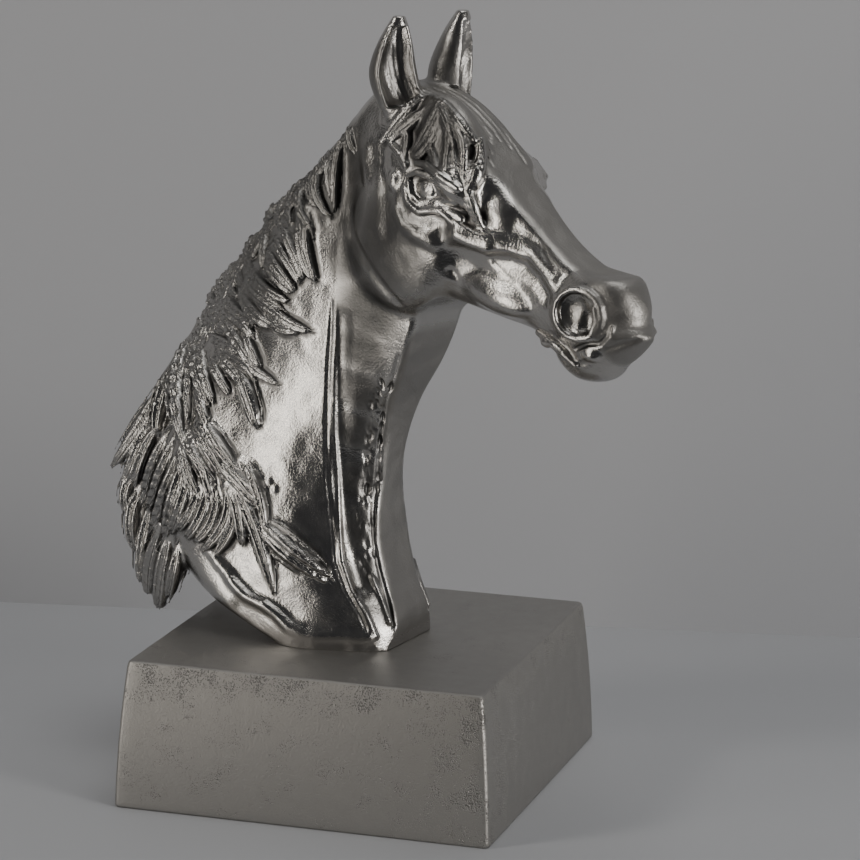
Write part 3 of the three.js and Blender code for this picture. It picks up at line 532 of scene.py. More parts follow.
# %% Ears
EAR_FOOT, EAR_TIP = 286.0, 326.3
EAR_X, EAR_Y = (20, 56), (2.0, 32.0)
ear_width = line((0, 8.4), (0.2, 9.6), (0.4, 9.8), (0.6, 8.4), (0.8, 6), (0.93, 3.8), (1, 2.4))
ear_x = line((0, 38.5), (0.45, 35.5), (0.74, 37.5), (1, 40))
ear_y = line((0, 13), (0.45, 16.5), (1, 17.5))
EAR_LOOK = math.radians(62)
FAR_EAR_WIDER = 1.1
for side in BOTH:
    def ear_place(x, y, z):
        up = (z - EAR_FOOT) / (EAR_TIP - EAR_FOOT)
        dx = x - ear_x(up)
        dy = y * side - ear_y(up)
        r = ear_width(up) * (FAR_EAR_WIDER if side > 0 else 1)
        return (dx * math.cos(EAR_LOOK) - dy * math.sin(EAR_LOOK),
                dx * math.sin(EAR_LOOK) + dy * math.cos(EAR_LOOK), r)

    def ear_body(x, y, z):
        a, out, r = ear_place(x, y, z)
        return np.maximum(np.sqrt(a * a + (out * 1.12) ** 2) - r, z - EAR_TIP).astype(np.float32)

    def ear_bowl(x, y, z):
        a, out, r = ear_place(x, y, z)
        ribs = 0.22 * np.cos(a * 1.9 + z * 0.12) * np.sin(z * 0.35 + a)
        bowl = np.sqrt(a * a + ((out - r * 0.8) * 1.1) ** 2) - r * 0.78 + ribs
        return np.maximum(np.maximum(bowl, EAR_FOOT + 4 - z), z - EAR_TIP + 4).astype(np.float32)

    low_y, high_y = sorted(side * y for y in EAR_Y)
    press([EAR_X[0], low_y, EAR_FOOT], [EAR_X[1], high_y, EAR_TIP], 3, join, ear_body)
    press([EAR_X[0], low_y, EAR_FOOT + 2], [EAR_X[1], high_y, EAR_TIP - 4], 0.8, cut, ear_bowl)
print("muscles, eyes, muzzle and ears pressed")

# %% [markdown]
# ## Hair
# The mane is cast in thick wavy locks that overlap like roof tiles. A tuft follows a path of points and
# has grooves along it for its strands. The clay remembers where hair lies, and how far across its tuft
# each spot is. A lock is a tuft with a root, a bend and a tip that lies on the neck.

# %% One tuft
lock_swell = line((0, 0.3), (0.3, 1), (0.65, 1.1), (0.88, 0.85), (1, 0.4))
LOCK_STEPS = 9
LOCK_EDGE, PAD_EDGE = 0.45, 3
MANE_LOWEST = 104
strand = np.zeros(clay.shape, np.float32)
hairy = np.zeros(clay.shape, bool)


def on_neck(x, z):
    """How far a lock lies from the middle plane; it hangs straight down below the neck."""
    high = np.maximum(z, MANE_LOWEST)
    back = neck_back(high)
    spare = np.maximum(0, back - x)
    return np.maximum(3, neck_half(np.maximum(x, back), high) - spare * 0.8)


def tuft(x, y, z, r, side, strands, wide, soft, deep):
    """One tuft along a path of points with half widths r; it is 'wide' times as broad as it is high."""
    reach = 1.3 * wide * float(r.max())
    low = [x.min() - reach, 0, z.min() - reach]
    high = [x.max() + reach, 0, z.max() + reach]
    low[1], high[1] = sorted((side * (y.min() - reach), side * (y.max() + reach)))
    found = grid_box(low, high, soft)
    if found is None:
        return
    where, (gx, gy, gz) = found
    best = None
    for i in range(len(x) - 1):
        dx, dz = x[i + 1] - x[i], z[i + 1] - z[i]
        size = dx * dx + dz * dz + 1e-6
        v = np.clip(((gx - x[i]) * dx + (gz - z[i]) * dz) / size, 0, 1)
        ex, ez = gx - x[i] - dx * v, gz - z[i] - dz * v
        rr = r[i] + (r[i + 1] - r[i]) * v
        out = gy * side - y[i] - (y[i + 1] - y[i]) * v
        aside = np.broadcast_to((ex * dz - ez * dx) / math.sqrt(size), np.broadcast(ex, gy).shape)
        d = np.sqrt((ex * ex + ez * ez) / wide ** 2 + out ** 2) - rr
        if strands:
            d = d + deep * (0.5 + 0.5 * np.cos(math.pi * strands * aside / (wide * rr)))
        mark = aside if best is None else np.where(d < best, aside, mark)
        best = d if best is None else np.minimum(best, d)
    best = best.astype(np.float32)
    ours = best < np.minimum(clay[where], 1.0)
    strand[where] = np.where(ours, mark.astype(np.float32), strand[where])
    hairy[where] |= ours & (strands > 0)
    clay[where] = join(clay[where], best, soft)


# %% One lock
def lock(root_bend_tip, width, lift, side, strands, wide=1.35, deep=0.6, thin_tip=0.0):
    x0, z0, x1, z1, x2, z2 = root_bend_tip
    u = np.linspace(0, 1, LOCK_STEPS + 1)
    bend = 2 * u * (1 - u)
    x = (1 - u) ** 2 * x0 + bend * (2 * x1 - (x0 + x2) / 2) + u * u * x2
    z = (1 - u) ** 2 * z0 + bend * (2 * z1 - (z0 + z2) / 2) + u * u * z2
    y = on_neck(x, z) + lift * ease(-0.15, 0.6, u)
    r = width * lock_swell(u) * (1 - thin_tip * u)
    tuft(x, y, z, r, side, strands, wide, LOCK_EDGE if strands else PAD_EDGE, deep)


# %% [markdown]
# ## Where the locks lie
# Each row gives a lock's root, bend and tip (x and z), and its width. The rows run from the poll down to
# the tail of the mane. On the far side, which the photograph doesn't show, the same locks are shifted a
# little, so that the two sides aren't mirror images.

# %% The rows of the mane
MANE = [
    (-4, 277, 7, 265, 8, 244, 1.0), (-11, 273, -5, 257, 6, 242, 1.3), (-18, 265, -9, 254, -2, 246, 1.0),
    (1, 280, 13, 275, 16, 270, 0.8), (-23, 259, -16, 248, -4, 236, 1.4),
    (-30, 255, -28, 246, -19, 237, 1.4), (-36, 249, -35, 240, -27, 233, 1.4),
    (-9, 244, -6, 229, 0, 215, 1.2), (-14, 242, -9, 227, -2, 216, 1.2), (-31, 237, -16, 228, -7, 215, 1.3),
    (-37, 231, -20, 224, -9, 213, 1.3), (-39, 226, -23, 218, -12, 210, 1.4),
    (-37, 222, -25, 215, -14, 209, 1.3), (-50, 227, -57, 219, -39, 211, 1.4),
    (-44, 232, -38, 224, -35, 216, 1.4), (-43, 243, -47, 235, -35, 228, 1.4),
    (-9, 269, 3, 261, 5, 251, 1.2), (-50, 215, -32, 209, -15, 205, 1.4),
    (-57, 213, -36, 206, -19, 202, 1.4), (-51, 209, -30, 202, -13, 197, 1.4),
    (-56, 206, -38, 198, -25, 194, 1.8), (-58, 220, -59, 211, -47, 205, 1.4),
    (-74, 213, -69, 206, -54, 201, 1.4), (-79, 209, -75, 201, -58, 196, 1.4),
    (-84, 203, -79, 195, -58, 191, 1.4), (-76, 202, -53, 196, -32, 194, 1.4),
    (-86, 198, -64, 193, -39, 190, 1.4), (-89, 194, -73, 189, -52, 186, 1.4),
    (-29, 204, -19, 198, -2, 194, 1.2), (-32, 200, -21, 194, -9, 194, 1.2),
    (-90, 192, -78, 188, -58, 186, 1.4), (-86, 192, -53, 188, -31, 173, 1.7),
    (-71, 196, -49, 193, -36, 188, 1.5), (-42, 188, -36, 183, -30, 176, 1.2),
    (-76, 182, -56, 182, -44, 180, 1.1), (-71, 179, -45, 177, -19, 170, 1.2),
    (-68, 178, -49, 173, -38, 166, 1.2), (-67, 176, -56, 170, -48, 163, 1.2),
    (-44, 173, -36, 165, -30, 152, 2.1), (-54, 178, -40, 176, -33, 172, 1.2),
    (-43, 174, -39, 167, -35, 160, 1.2), (-89, 185, -76, 172, -59, 157, 1.5),
    (-79, 183, -68, 172, -56, 158, 1.5), (-88, 180, -78, 169, -70, 148, 1.4),
    (-90, 177, -86, 164, -72, 141, 2.0), (-92, 173, -91, 160, -82, 146, 1.4),
    (-94, 168, -95, 154, -95, 140, 1.9), (-95, 163, -101, 149, -113, 131, 1.7),
    (-97, 157, -104, 141, -119, 121, 1.9), (-98, 149, -104, 138, -114, 126, 1.7),
    (-69, 161, -63, 156, -59, 150, 1.2), (-95, 157, -95, 148, -101, 139, 1.4),
    (-65, 148, -56, 140, -48, 131, 1.7), (-61, 150, -51, 142, -41, 133, 1.7),
    (-70, 142, -62, 135, -53, 127, 1.5), (-73, 140, -68, 132, -61, 121, 1.5),
    (-98, 145, -105, 131, -114, 112, 1.8), (-94, 143, -103, 129, -108, 114, 1.7),
    (-85, 142, -93, 127, -105, 106, 1.7), (-79, 141, -85, 126, -101, 103, 1.7),
    (-74, 139, -79, 121, -100, 94, 1.8), (-70, 135, -73, 119, -84, 96, 2.0),
    (-67, 127, -69, 115, -77, 101, 1.7), (-65, 139, -58, 131, -54, 121, 1.4),
    (-53, 135, -41, 129, -30, 120, 1.7), (-46, 133, -38, 129, -29, 123, 1.2),
    (-106, 121, -112, 111, -111, 102, 1.7), (-104, 114, -109, 100, -108, 86, 1.9),
    (-99, 109, -103, 89, -105, 72, 2.0), (-90, 100, -98, 82, -101, 67, 1.9),
    (-80, 101, -85, 82, -90, 65, 2.3), (-73, 96, -75, 84, -80, 72, 1.7),
    (-49, 129, -45, 114, -57, 98, 1.7), (-53, 125, -52, 112, -61, 101, 1.5),
    (-57, 123, -58, 112, -66, 102, 1.7), (-61, 124, -63, 114, -71, 104, 1.4),
    (-45, 127, -42, 112, -52, 96, 1.5), (-45, 125, -39, 116, -38, 103, 1.9),
    (-45, 127, -32, 113, -23, 85, 1.9), (-30, 112, -16, 104, 2, 92, 2.6),
    (-39, 136, -30, 127, -26, 110, 1.2),
]
UPPER_MANE_Z, CREST_INSET = 186, 4
FAR_PULL = 7


def on_far_side(x, z):
    """One spot of a near lock, moved for the far side."""
    high = float(ease(170, 200, z))
    return x + FAR_PULL * float(ease(-40, -95, x)) + 2 * high, z + (4 - 5 * high)


def placed(row, side):
    """The root, bend and tip of one lock on one side; the upper roots stay on the crest."""
    x0, z0, x1, z1, x2, z2, _ = row
    if z0 > UPPER_MANE_Z:
        x0 = max(x0, float(neck_back(z0)) + CREST_INSET)
    if side > 0:
        return *on_far_side(x0, z0), *on_far_side(x1, z1), *on_far_side(x2, z2)
    return x0, z0, x1, z1, x2, z2


# %% [markdown]
# ## Laying the mane
# First every lock gets a smooth pad under it, which closes the gaps, then come the locks themselves, and
# last some thinner ones along the crest.

# %% Pads, locks and crest
LEAST_WIDTH = 1.9
for row in MANE:
    for side in BOTH:
        lock(placed(row, side), 1.5 * max(LEAST_WIDTH, row[6] * 1.3), -1.6, side, 0, thin_tip=0.85)
for row in MANE:
    for side in BOTH:
        lock(placed(row, side), max(LEAST_WIDTH, row[6] * 1.35), 1.5, side, 3, wide=1.9, deep=0.95)
for inset, first_z in ((10, 279), (6.5, 284), (3, 276)):
    for z0 in range(first_z, 180, -13):
        along = [(float(neck_back(z)) + inset + 0.2 * (z0 - z), z) for z in (z0, z0 - 16, z0 - 34)]
        for side in BOTH:
            lock(sum(along, ()), 2.1, 1.5, side, 3, wide=1.5, deep=0.8, thin_tip=0.6)

# %% [markdown]
# ## Forelock
# The forelock falls over the near half of the forehead as a raised mass of curved tufts. On the flat
# strip beside it the hair is only engraved.

# %% Forelock tufts
egg(join, 4, (64, 11.2, 281.2), (20, 9.6, 12.8), 38, NEAR)
FORELOCK = [
    [(49.7, 14.9, 293.7, 1.6), (45.7, 19, 288.4, 1.9), (35, 21.8, 276, 0.8)],
    [(54.5, 17.4, 289.3, 1.4), (49.5, 19.8, 284.9, 1.7), (39.4, 21.4, 277.4, 0.9)],
    [(63, 15.8, 293.6, 1.5), (60.5, 19.4, 284.9, 1.9), (53.4, 20.8, 275.1, 0.9)],
    [(66.5, 17, 289, 1.3), (63.5, 19.6, 281, 1.6), (57, 21.2, 273.5, 1.4), (51.6, 21, 273, 0.8)],
    [(66, 17.4, 289, 1.1), (70.4, 19, 283, 1.3), (72, 21, 276, 1.2), (73.1, 23, 270, 1.3)],
    [(65.9, 15.8, 292.8, 1.3), (74.8, 17.4, 287.6, 1.9), (80.5, 15.6, 281.6, 1.4)],
    [(74, 18, 286, 1.1), (78.6, 18.4, 279.3, 1.5), (80.6, 21, 267, 1.2)],
    [(82.6, 13.6, 281, 1.2), (83.6, 14.6, 274, 2), (84, 18, 267.5, 2.6), (82.8, 21, 262.5, 1.4)],
    [(82.6, 20.6, 264, 1.4), (85, 19.8, 256.6, 2), (88, 17.4, 248, 1)],
    [(58.7, 15, 294.6, 1.3), (68, 18.2, 288.7, 1.5), (73.4, 19.2, 279, 1.2)],
    [(59, 19.4, 283.2, 1.2), (62.8, 20.6, 276, 1.5), (69, 24, 268.6, 1)],
    [(70, 18, 282.2, 1.2), (75, 20, 273.1, 1.5), (79, 24, 264.7, 1)],
    [(46.7, 19.4, 283.8, 1.2), (48.6, 20.6, 278.3, 1.4), (49.2, 22.8, 270.5, 0.9)],
]
for stations in FORELOCK:
    steps = np.linspace(0, len(stations) - 1, 9)
    x, y, z, r = (through(range(len(stations)), [p[c] for p in stations], steps) for c in range(4))
    tuft(x, y, z, r * 1.2, side=-1, strands=2, wide=1.5, soft=1.1, deep=0.4)

# %% Engraved strands
ENGRAVED = 22
for i in range(ENGRAVED):
    y = -13 + 1.35 * i + dice.uniform(-0.4, 0.4)
    first, last = 8 + dice.uniform(0, 8), 44 + dice.uniform(-8, 16)
    groove = []
    for s in np.linspace(first, last, 7):
        x, _, z = on_face(s, float(face_top(s)) - 0.1, 0)
        groove.append((x, y + 2.5 * math.sin((s - first) / 22), z, 0.55))
    cord(cut, 0.5, groove, FAR)
print(len(MANE), "mane locks on each side and", len(FORELOCK), "forelock tufts")

# %% [markdown]
# ## From clay to a skin
# The skin lies where the clay's number is zero. One point is put in every grid box that the skin
# crosses, at the mean of its crossings, and the points of neighbouring boxes are joined by faces.

# %% Skin
SUNK = 0.15
CORNERS = [(a, b, c) for a in (0, 1) for b in (0, 1) for c in (0, 1)]
clay = np.maximum(clay, (FOOT_Z - SUNK - pz)[None, None, :].astype(np.float32))


def skin_of(f):
    """Points and four-cornered faces of the surface where f is zero."""
    inside = f < 0
    nx, ny, nz = f.shape
    tally = np.zeros((nx - 1, ny - 1, nz - 1), np.int8)
    for a, b, c in CORNERS:
        tally += inside[a:nx - 1 + a, b:ny - 1 + b, c:nz - 1 + c]
    boxes = np.argwhere((tally > 0) & (tally < 8))
    values = {c: f[boxes[:, 0] + c[0], boxes[:, 1] + c[1], boxes[:, 2] + c[2]] for c in CORNERS}
    total = np.zeros((len(boxes), 3))
    hits = np.zeros(len(boxes))
    for a in CORNERS:
        for axis in range(3):
            if a[axis]:
                continue
            b = tuple(a[k] + (k == axis) for k in range(3))
            va, vb = values[a], values[b]
            cross = (va < 0) != (vb < 0)
            t = va / np.where(cross, va - vb, 1)
            place = np.array(a, float) + np.outer(t, [k == axis for k in range(3)])
            total += np.where(cross[:, None], place, 0)
            hits += cross
    points = GRID_LOW + (boxes + total / hits[:, None]) * CELL
    number = np.full(tally.shape, -1, np.int32)
    number[tuple(boxes.T)] = np.arange(len(boxes))
    faces = []
    for axis in range(3):
        one, two = (axis + 1) % 3, (axis + 2) % 3
        here = inside.take(range(inside.shape[axis] - 1), axis)
        there = inside.take(range(1, inside.shape[axis]), axis)
        e = np.argwhere(here != there)
        e = e[(e[:, one] > 0) & (e[:, two] > 0)]
        leaving = here[tuple(e.T)]

        def cell(d1, d2):
            c = e.copy()
            c[:, one] -= d1
            c[:, two] -= d2
            return number[tuple(c.T)]

        quad = np.stack([cell(1, 1), cell(0, 1), cell(0, 0), cell(1, 0)], 1)
        quad[~leaving] = quad[~leaving][:, ::-1]
        faces.append(quad)
    return points, np.concatenate(faces)


# %% Take the skin
skin_points, skin_faces = skin_of(clay)
print("skin of", len(skin_points), "points and", len(skin_faces), "faces")

# %% [markdown]
# ## What the skin knows
# The clay knows more than its skin: which way each point faces, how deep it lies in a hollow, whether
# it is hair, and whether it belongs to the strip that was ground flat and left satin. These are measured
# here and later stored on the points for the metal to use.

# %% Reading the clay at points
def clay_at(points):
    g = np.clip((points - GRID_LOW) / CELL, 0, np.array(clay.shape) - 1.001)
    i = g.astype(int)
    t = g - i
    value = 0
    for corner in CORNERS:
        share = np.prod(np.where(corner, t, 1 - t), axis=1)
        value = value + share * clay[tuple((i + corner).T)]
    return value


def clay_slope(points):
    """The direction in which the clay's number grows, which is the way the skin faces."""
    slope = np.zeros_like(points)
    for axis in range(3):
        step = np.eye(3)[axis] * CELL * 0.8
        slope[:, axis] = clay_at(points + step) - clay_at(points - step)
    return slope / (np.linalg.norm(slope, axis=1, keepdims=True) + 1e-9)


SATIN_EDGE = line((0, 8), (27, 15.5), (36, 16.5), (54, 16), (59, 14.7), (64, 9.8), (79, 9.6), (95, 8.6),
                  (118, 9), (128, 12.5), (134, 14))
LEDGE_X = line(*[(z, x) for x, y, z in reversed(LEDGE)], (200, 45), (215, 52))


def satin_share(p):
    """1 on the ground strip down the face, over the muzzle and down the front of the neck."""
    s = along_face(p[:, 0], p[:, 2])
    sunk = deep_face(p[:, 0], p[:, 2]) - face_top(s)
    face = (1 - ease(-0.6, 0.6, np.abs(p[:, 1]) - SATIN_EDGE(s))) * (1 - ease(5, 9, sunk)) * ease(2, 8, s)
    muzzle = ease(145, 149, p[:, 0] + 0.25 * (p[:, 2] - 215))
    neck = ease(-0.5, 0.5, p[:, 0] - LEDGE_X(p[:, 2])) * (1 - ease(205, 212, p[:, 2]))
    neck = neck * (1 - ease(55, 62, p[:, 0]))
    return np.maximum(np.maximum(face, muzzle), neck)


# %% [markdown]
# ## The turn of the head
# The horse was carved looking straight ahead. Now the foot turns a little and the head turns more, about
# one upright line, as a horse looks aside.

# %% Turn and measure the skin
BASE_TURN, HEAD_TURN = 10.0, 29.0
TURN_AXIS_Y = -4.0
UNIT = (BUST_TOP_Z - PLINTH_TOP_Z) / (EAR_TIP - FOOT_Z)


def turned(p):
    a = np.radians(BASE_TURN + (HEAD_TURN - BASE_TURN) * ease(70, 190, p[:, 2] + 0.5 * p[:, 0]))
    return np.stack([(np.cos(a) * p[:, 0] + np.sin(a) * p[:, 1]) * UNIT,
                     (-np.sin(a) * p[:, 0] + np.cos(a) * p[:, 1] + TURN_AXIS_Y) * UNIT,
                     PLINTH_TOP_Z + (p[:, 2] - FOOT_Z) * UNIT], 1)


normal = clay_slope(skin_points)
moved = turned(skin_points)
helper = np.where(np.abs(normal[:, 2:]) < 0.9, [[0, 0, 1]], [[1, 0, 0]])
first = np.cross(helper, normal)
second = np.cross(normal, first)
STEP = 0.05
turned_normal = np.cross(turned(skin_points + first * STEP) - moved,
                         turned(skin_points + second * STEP) - moved)
turned_normal /= np.linalg.norm(turned_normal, axis=1, keepdims=True)
REACH = 1.8
hollow = np.clip(1 - clay_at(skin_points + normal * REACH) / (REACH * 0.9), 0, 1)
nearest = tuple(np.clip(np.rint((skin_points - normal * 0.3 - GRID_LOW) / CELL).astype(int), 0,
                        np.array(clay.shape) - 1).T)
hair = hairy[nearest].astype(float)
strand_across = strand[nearest]
satin_of = satin_share(skin_points) * (1 - hair)

# %% [markdown]
# ## Places that the buffing wheel missed
# Some places are rougher, and their colour is darkened almost to black as painted shade, such as the
# trough and the hollow behind the jaw. Each is a soft round spot, given by x, z, reach and share.

# %% Dull places with painted shade
DULL_SHADED_SPOTS = [(24, 206, 16, 1.0), (20, 190, 12, 1.0), (16, 172, 10, 0.9), (12, 154, 8, 0.8),
            (11, 132, 8, 0.7), (12, 112, 8, 0.7), (15, 94, 8, 0.7), (19, 79, 7, 0.6),
            (16, 246, 15, 0.8), (14, 266, 14, 0.8), (16, 226, 12, 0.9), (43, 236, 22, 0.85),
            (62, 281, 17, 0.85), (36, 303, 16, 0.6), (139, 221, 9, 0.4), (-14, 252, 26, 0.55),
            (-44, 222, 26, 0.5), (122, 246, 12, 0.5), (75, 245, 5, 0.6), (133, 203, 7, 0.4)]
# Each spot darkens the colour of the skin around it: painted shade. The spots are also rougher.
dull_and_shaded = np.zeros(len(skin_points))
for x, z, reach, share in DULL_SHADED_SPOTS:
    away_from = ((skin_points[:, 0] - x) ** 2 + (skin_points[:, 2] - z) ** 2) / reach ** 2
    dull_and_shaded = np.maximum(dull_and_shaded, share * np.exp(-away_from ** 2))
dull_and_shaded *= 1 - satin_of
print("satin on", round(float(satin_of.mean()), 2), "of the skin, hair on", round(float(hair.mean()), 2))

# %% [markdown]
# ## One casting, five meshes
# The skin is fine enough for every strand. It is kept in five meshes, cut level by level, so that each
# stays light. They share their border points and their shading, so no seam shows.

# %% Bust meshes
LEVEL_NAMES = ["bust_foot", "bust_chest_and_tail_of_mane", "bust_neck", "bust_jaw_and_muzzle",
               "bust_brow_and_ears"]
STORED = {"satin": satin_of, "hollow": hollow, "hair": hair, "strand": strand_across,
          "dull_and_shaded": dull_and_shaded}
face_height = skin_points[skin_faces].mean(1)[:, 2]
borders = np.quantile(face_height, np.linspace(0, 1, len(LEVEL_NAMES) + 1))
borders[0] -= 1
busts = []
for name, low, high in zip(LEVEL_NAMES, borders[:-1], borders[1:]):
    part_faces = skin_faces[(face_height > low) & (face_height <= high)]
    used, index = np.unique(part_faces, return_inverse=True)
    index = index.reshape(-1, 4)
    bust = put_mesh(name, (moved[used] / PER_METRE).tolist(), index.tolist())
    for title, values in STORED.items():
        attribute = bust.data.attributes.new(title, "FLOAT", "POINT")
        attribute.data.foreach_set("value", values[used].astype(np.float32))
    bust.data.normals_split_custom_set_from_vertices(turned_normal[used].tolist())
    busts.append(bust)
    print(name, len(index) * 2, "triangles")

# %% [markdown]
# ## The plinth
# A square block whose sides lean in a little and bow out by less than a millimetre, with soft cast
# edges. It is made from rings, from the foot's edge up the sides and over the top edge to the middle.

# %% One ring of the plinth
SIDE_STEPS, EDGE_STEPS = 36, 6
QUARTER = math.pi / 2
BOTTOM_HALF = (plinth_high[0] - plinth_low[0]) / 2 * PER_METRE
TOP_HALF = 76.0
FOOT_EDGE, TOP_EDGE, CORNER = 1.2, 1.3, 2
RISE_STEPS = 24
BELLY, BOW, LEAST_BOW = 3.2, 0.7, 0.1


def plinth_ring(half_side, z, bow):
    """One square ring with soft corners, whose sides bow out."""
    ring = []
    inner = half_side - CORNER
    for side in range(4):
        c, s = math.cos(side * QUARTER), math.sin(side * QUARTER)
        for i in range(SIDE_STEPS):
            t = -1 + 2 * i / (SIDE_STEPS - 1)
            u, v = half_side + bow * (1 - t * t), inner * t
            ring.append((u * c - v * s, u * s + v * c, z))
        for i in range(1, EDGE_STEPS):
            a = i / EDGE_STEPS * QUARTER
            u, v = inner + CORNER * math.cos(a), inner + CORNER * math.sin(a)
            ring.append((u * c - v * s, u * s + v * c, z))
    return ring


# %% Rings and faces of the plinth
edge_turns = [i / EDGE_STEPS * QUARTER for i in range(EDGE_STEPS + 1)]
rings = [plinth_ring(BOTTOM_HALF - FOOT_EDGE * (1 - math.sin(a)), FOOT_EDGE * (1 - math.cos(a)), 0)
         for a in edge_turns]
for i in range(1, RISE_STEPS):
    share = i / RISE_STEPS
    half_side = BOTTOM_HALF + (TOP_HALF - BOTTOM_HALF) * share + BELLY * share * (1 - share)
    bow = BOW * math.sin(math.pi * share) + LEAST_BOW
    rings.append(plinth_ring(half_side, PLINTH_TOP_Z * share, bow))
rings += [plinth_ring(TOP_HALF - TOP_EDGE * (1 - math.cos(a)),
                      PLINTH_TOP_Z - TOP_EDGE * (1 - math.sin(a)), LEAST_BOW) for a in edge_turns]
rings += [plinth_ring(TOP_HALF - inset, PLINTH_TOP_Z, 0) for inset in (4, 12, 24, 40, 58, 70)]
ring_size = len(rings[0])
points = [p for ring in rings for p in ring]
around = [(i, (i + 1) % ring_size) for i in range(ring_size)]
starts = range(0, len(points), ring_size)
faces = [(r + i, r + k, r + ring_size + k, r + ring_size + i) for r in starts[:-1] for i, k in around]
points += [(0, 0, 0), (0, 0, PLINTH_TOP_Z)]
for i, k in around:
    faces += [(k, i, len(points) - 2), (starts[-1] + i, starts[-1] + k, len(points) - 1)]
plinth = put_mesh("plinth_block", [[v / PER_METRE for v in point] for point in points], faces)
print("plinth block:", len(faces), "faces")

# %% [markdown]
# ## Metal
# Both castings are aluminium. The bust is plated and polished until it mirrors the room, but the grain of
# the sand mould still shows in it, and its hollows are painted dark: painted shade, with some grime. The
# ground strip and the plinth are satin with fine lines from the belt, and the plinth has cast pits near
# its top edge. What the metals share is kept in node groups.

# %% Tools for node groups
def feed(tree, value, socket):
    """Put a number or a colour on a socket, or link another node's output to it."""
    if isinstance(value, (int, float, tuple)):
        socket.default_value = value
    else:
        tree.links.new(value, socket)


def new_group(name, inputs, outputs):
    """A node group that takes a place and some settings and gives some numbers."""
    g = bpy.data.node_groups.new(name, "ShaderNodeTree")
    g.interface.new_socket("Vector", in_out="INPUT", socket_type="NodeSocketVector")
    for title, value in inputs.items():
        kind = "NodeSocketVector" if isinstance(value, tuple) else "NodeSocketFloat"
        g.interface.new_socket(title, in_out="INPUT", socket_type=kind).default_value = value
    for title in outputs:
        g.interface.new_socket(title, in_out="OUTPUT", socket_type="NodeSocketFloat")
    return g, g.nodes.new("NodeGroupInput").outputs, g.nodes.new("NodeGroupOutput").inputs


# %% Numbers and noise
def maths(tree, operation, a, b=None, c=None, clamp=False):
    node = tree.nodes.new("ShaderNodeMath")
    node.operation = operation
    node.use_clamp = clamp
    for value, socket in zip((a, b, c), node.inputs):
        if value is not None:
            feed(tree, value, socket)
    return node.outputs[0]


def times(tree, a, b):
    return maths(tree, "MULTIPLY", a, b)


def noise(tree, vector, scale, detail, rough):
    node = tree.nodes.new("ShaderNodeTexNoise")
    node.inputs["Detail"].default_value = detail
    node.inputs["Roughness"].default_value = rough
    feed(tree, scale, node.inputs["Scale"])
    tree.links.new(vector, node.inputs["Vector"])
    return node.outputs["Fac"]


def steps_between(tree, value, low, high):
    node = tree.nodes.new("ShaderNodeMapRange")
    node.interpolation_type = "SMOOTHSTEP"
    node.inputs["From Min"].default_value = low
    node.inputs["From Max"].default_value = high
    tree.links.new(value, node.inputs["Value"])
    return node.outputs["Result"]


# %% Grain
group, given, made = new_group("cast_grain", {"Fine": 1500.0}, ["Height", "Mottle", "Wave"])
for title, scale, detail, rough in (("Height", given["Fine"], 3, 0.6), ("Mottle", 160.0, 4, 0.6),
                                    ("Wave", 85.0, 1, 0.5)):
    group.links.new(noise(group, given["Vector"], scale, detail, rough), made[title])
grain_group = group

# %% Belt lines
group, given, made = new_group("belt_lines", {"Stretch": (1, 1, 1)}, ["Height"])
stretch = group.nodes.new("ShaderNodeVectorMath")
stretch.operation = "MULTIPLY"
group.links.new(given["Vector"], stretch.inputs[0])
group.links.new(given["Stretch"], stretch.inputs[1])
group.links.new(noise(group, stretch.outputs["Vector"], 1.0, 4, 0.7), made["Height"])
belt_group = group

# %% Pits
group, given, made = new_group("cast_pits", {"Scale": 600.0, "Amount": 0.3}, ["Depth"])
cells = group.nodes.new("ShaderNodeTexVoronoi")
for title in ("Vector", "Scale"):
    group.links.new(given[title], cells.inputs[title])
patches = noise(group, given["Vector"], 90.0, 3, 0.6)
size = maths(group, "SUBTRACT", maths(group, "ADD", patches, given["Amount"]), 0.5)
depth = maths(group, "SUBTRACT", times(group, size, 1.4), cells.outputs["Distance"])
group.links.new(maths(group, "MULTIPLY", depth, 4.0, clamp=True), made["Depth"])
pit_group = group
print("node groups:", [g.name for g in (grain_group, belt_group, pit_group)])

# %% [markdown]
# ## Helpers for materials
# They put a node group to use, read a number stored on the points, blend two colours, and lay one bump
# on another.

# %% Material helpers
def new_material(name):
    m = bpy.data.materials.new(name)
    m.use_nodes = True
    return m, m.node_tree, m.node_tree.nodes["Principled BSDF"]


def use(tree, group, vector, **values):
    node = tree.nodes.new("ShaderNodeGroup")
    node.node_tree = group
    tree.links.new(vector, node.inputs["Vector"])
    for title, value in values.items():
        feed(tree, value, node.inputs[title])
    return node


def stored(tree, title):
    node = tree.nodes.new("ShaderNodeAttribute")
    node.attribute_name = title
    return node.outputs["Fac"]


# %% Colour and bump
def blend_colours(tree, share, a, b):
    node = tree.nodes.new("ShaderNodeMix")
    node.data_type = "RGBA"
    tree.links.new(share, node.inputs["Factor"])
    for value, title in ((a, "A"), (b, "B")):
        feed(tree, value, node.inputs[title])
    return node.outputs["Result"]


def tinted(tree, colour, share, most, tint):
    """The colour, blended toward a tint by a share of it; 'most' is how much the full share does."""
    return blend_colours(tree, times(tree, share, most), colour, tint)


def bump(tree, height, strength, distance, before=None):
    node = tree.nodes.new("ShaderNodeBump")
    node.inputs["Distance"].default_value = distance
    feed(tree, strength, node.inputs["Strength"])
    tree.links.new(height, node.inputs["Height"])
    if before:
        tree.links.new(before, node.inputs["Normal"])
    return node.outputs["Normal"]


def metal_start(name, fine, stretch):
    """A metal material with its place, its grain and its belt lines."""
    m, tree, shader = new_material(name)
    shader.inputs["Metallic"].default_value = 1
    place = tree.nodes.new("ShaderNodeTexCoord").outputs["Object"]
    grain = use(tree, grain_group, place, Fine=fine)
    return m, tree, shader, place, grain, use(tree, belt_group, place, Stretch=stretch)
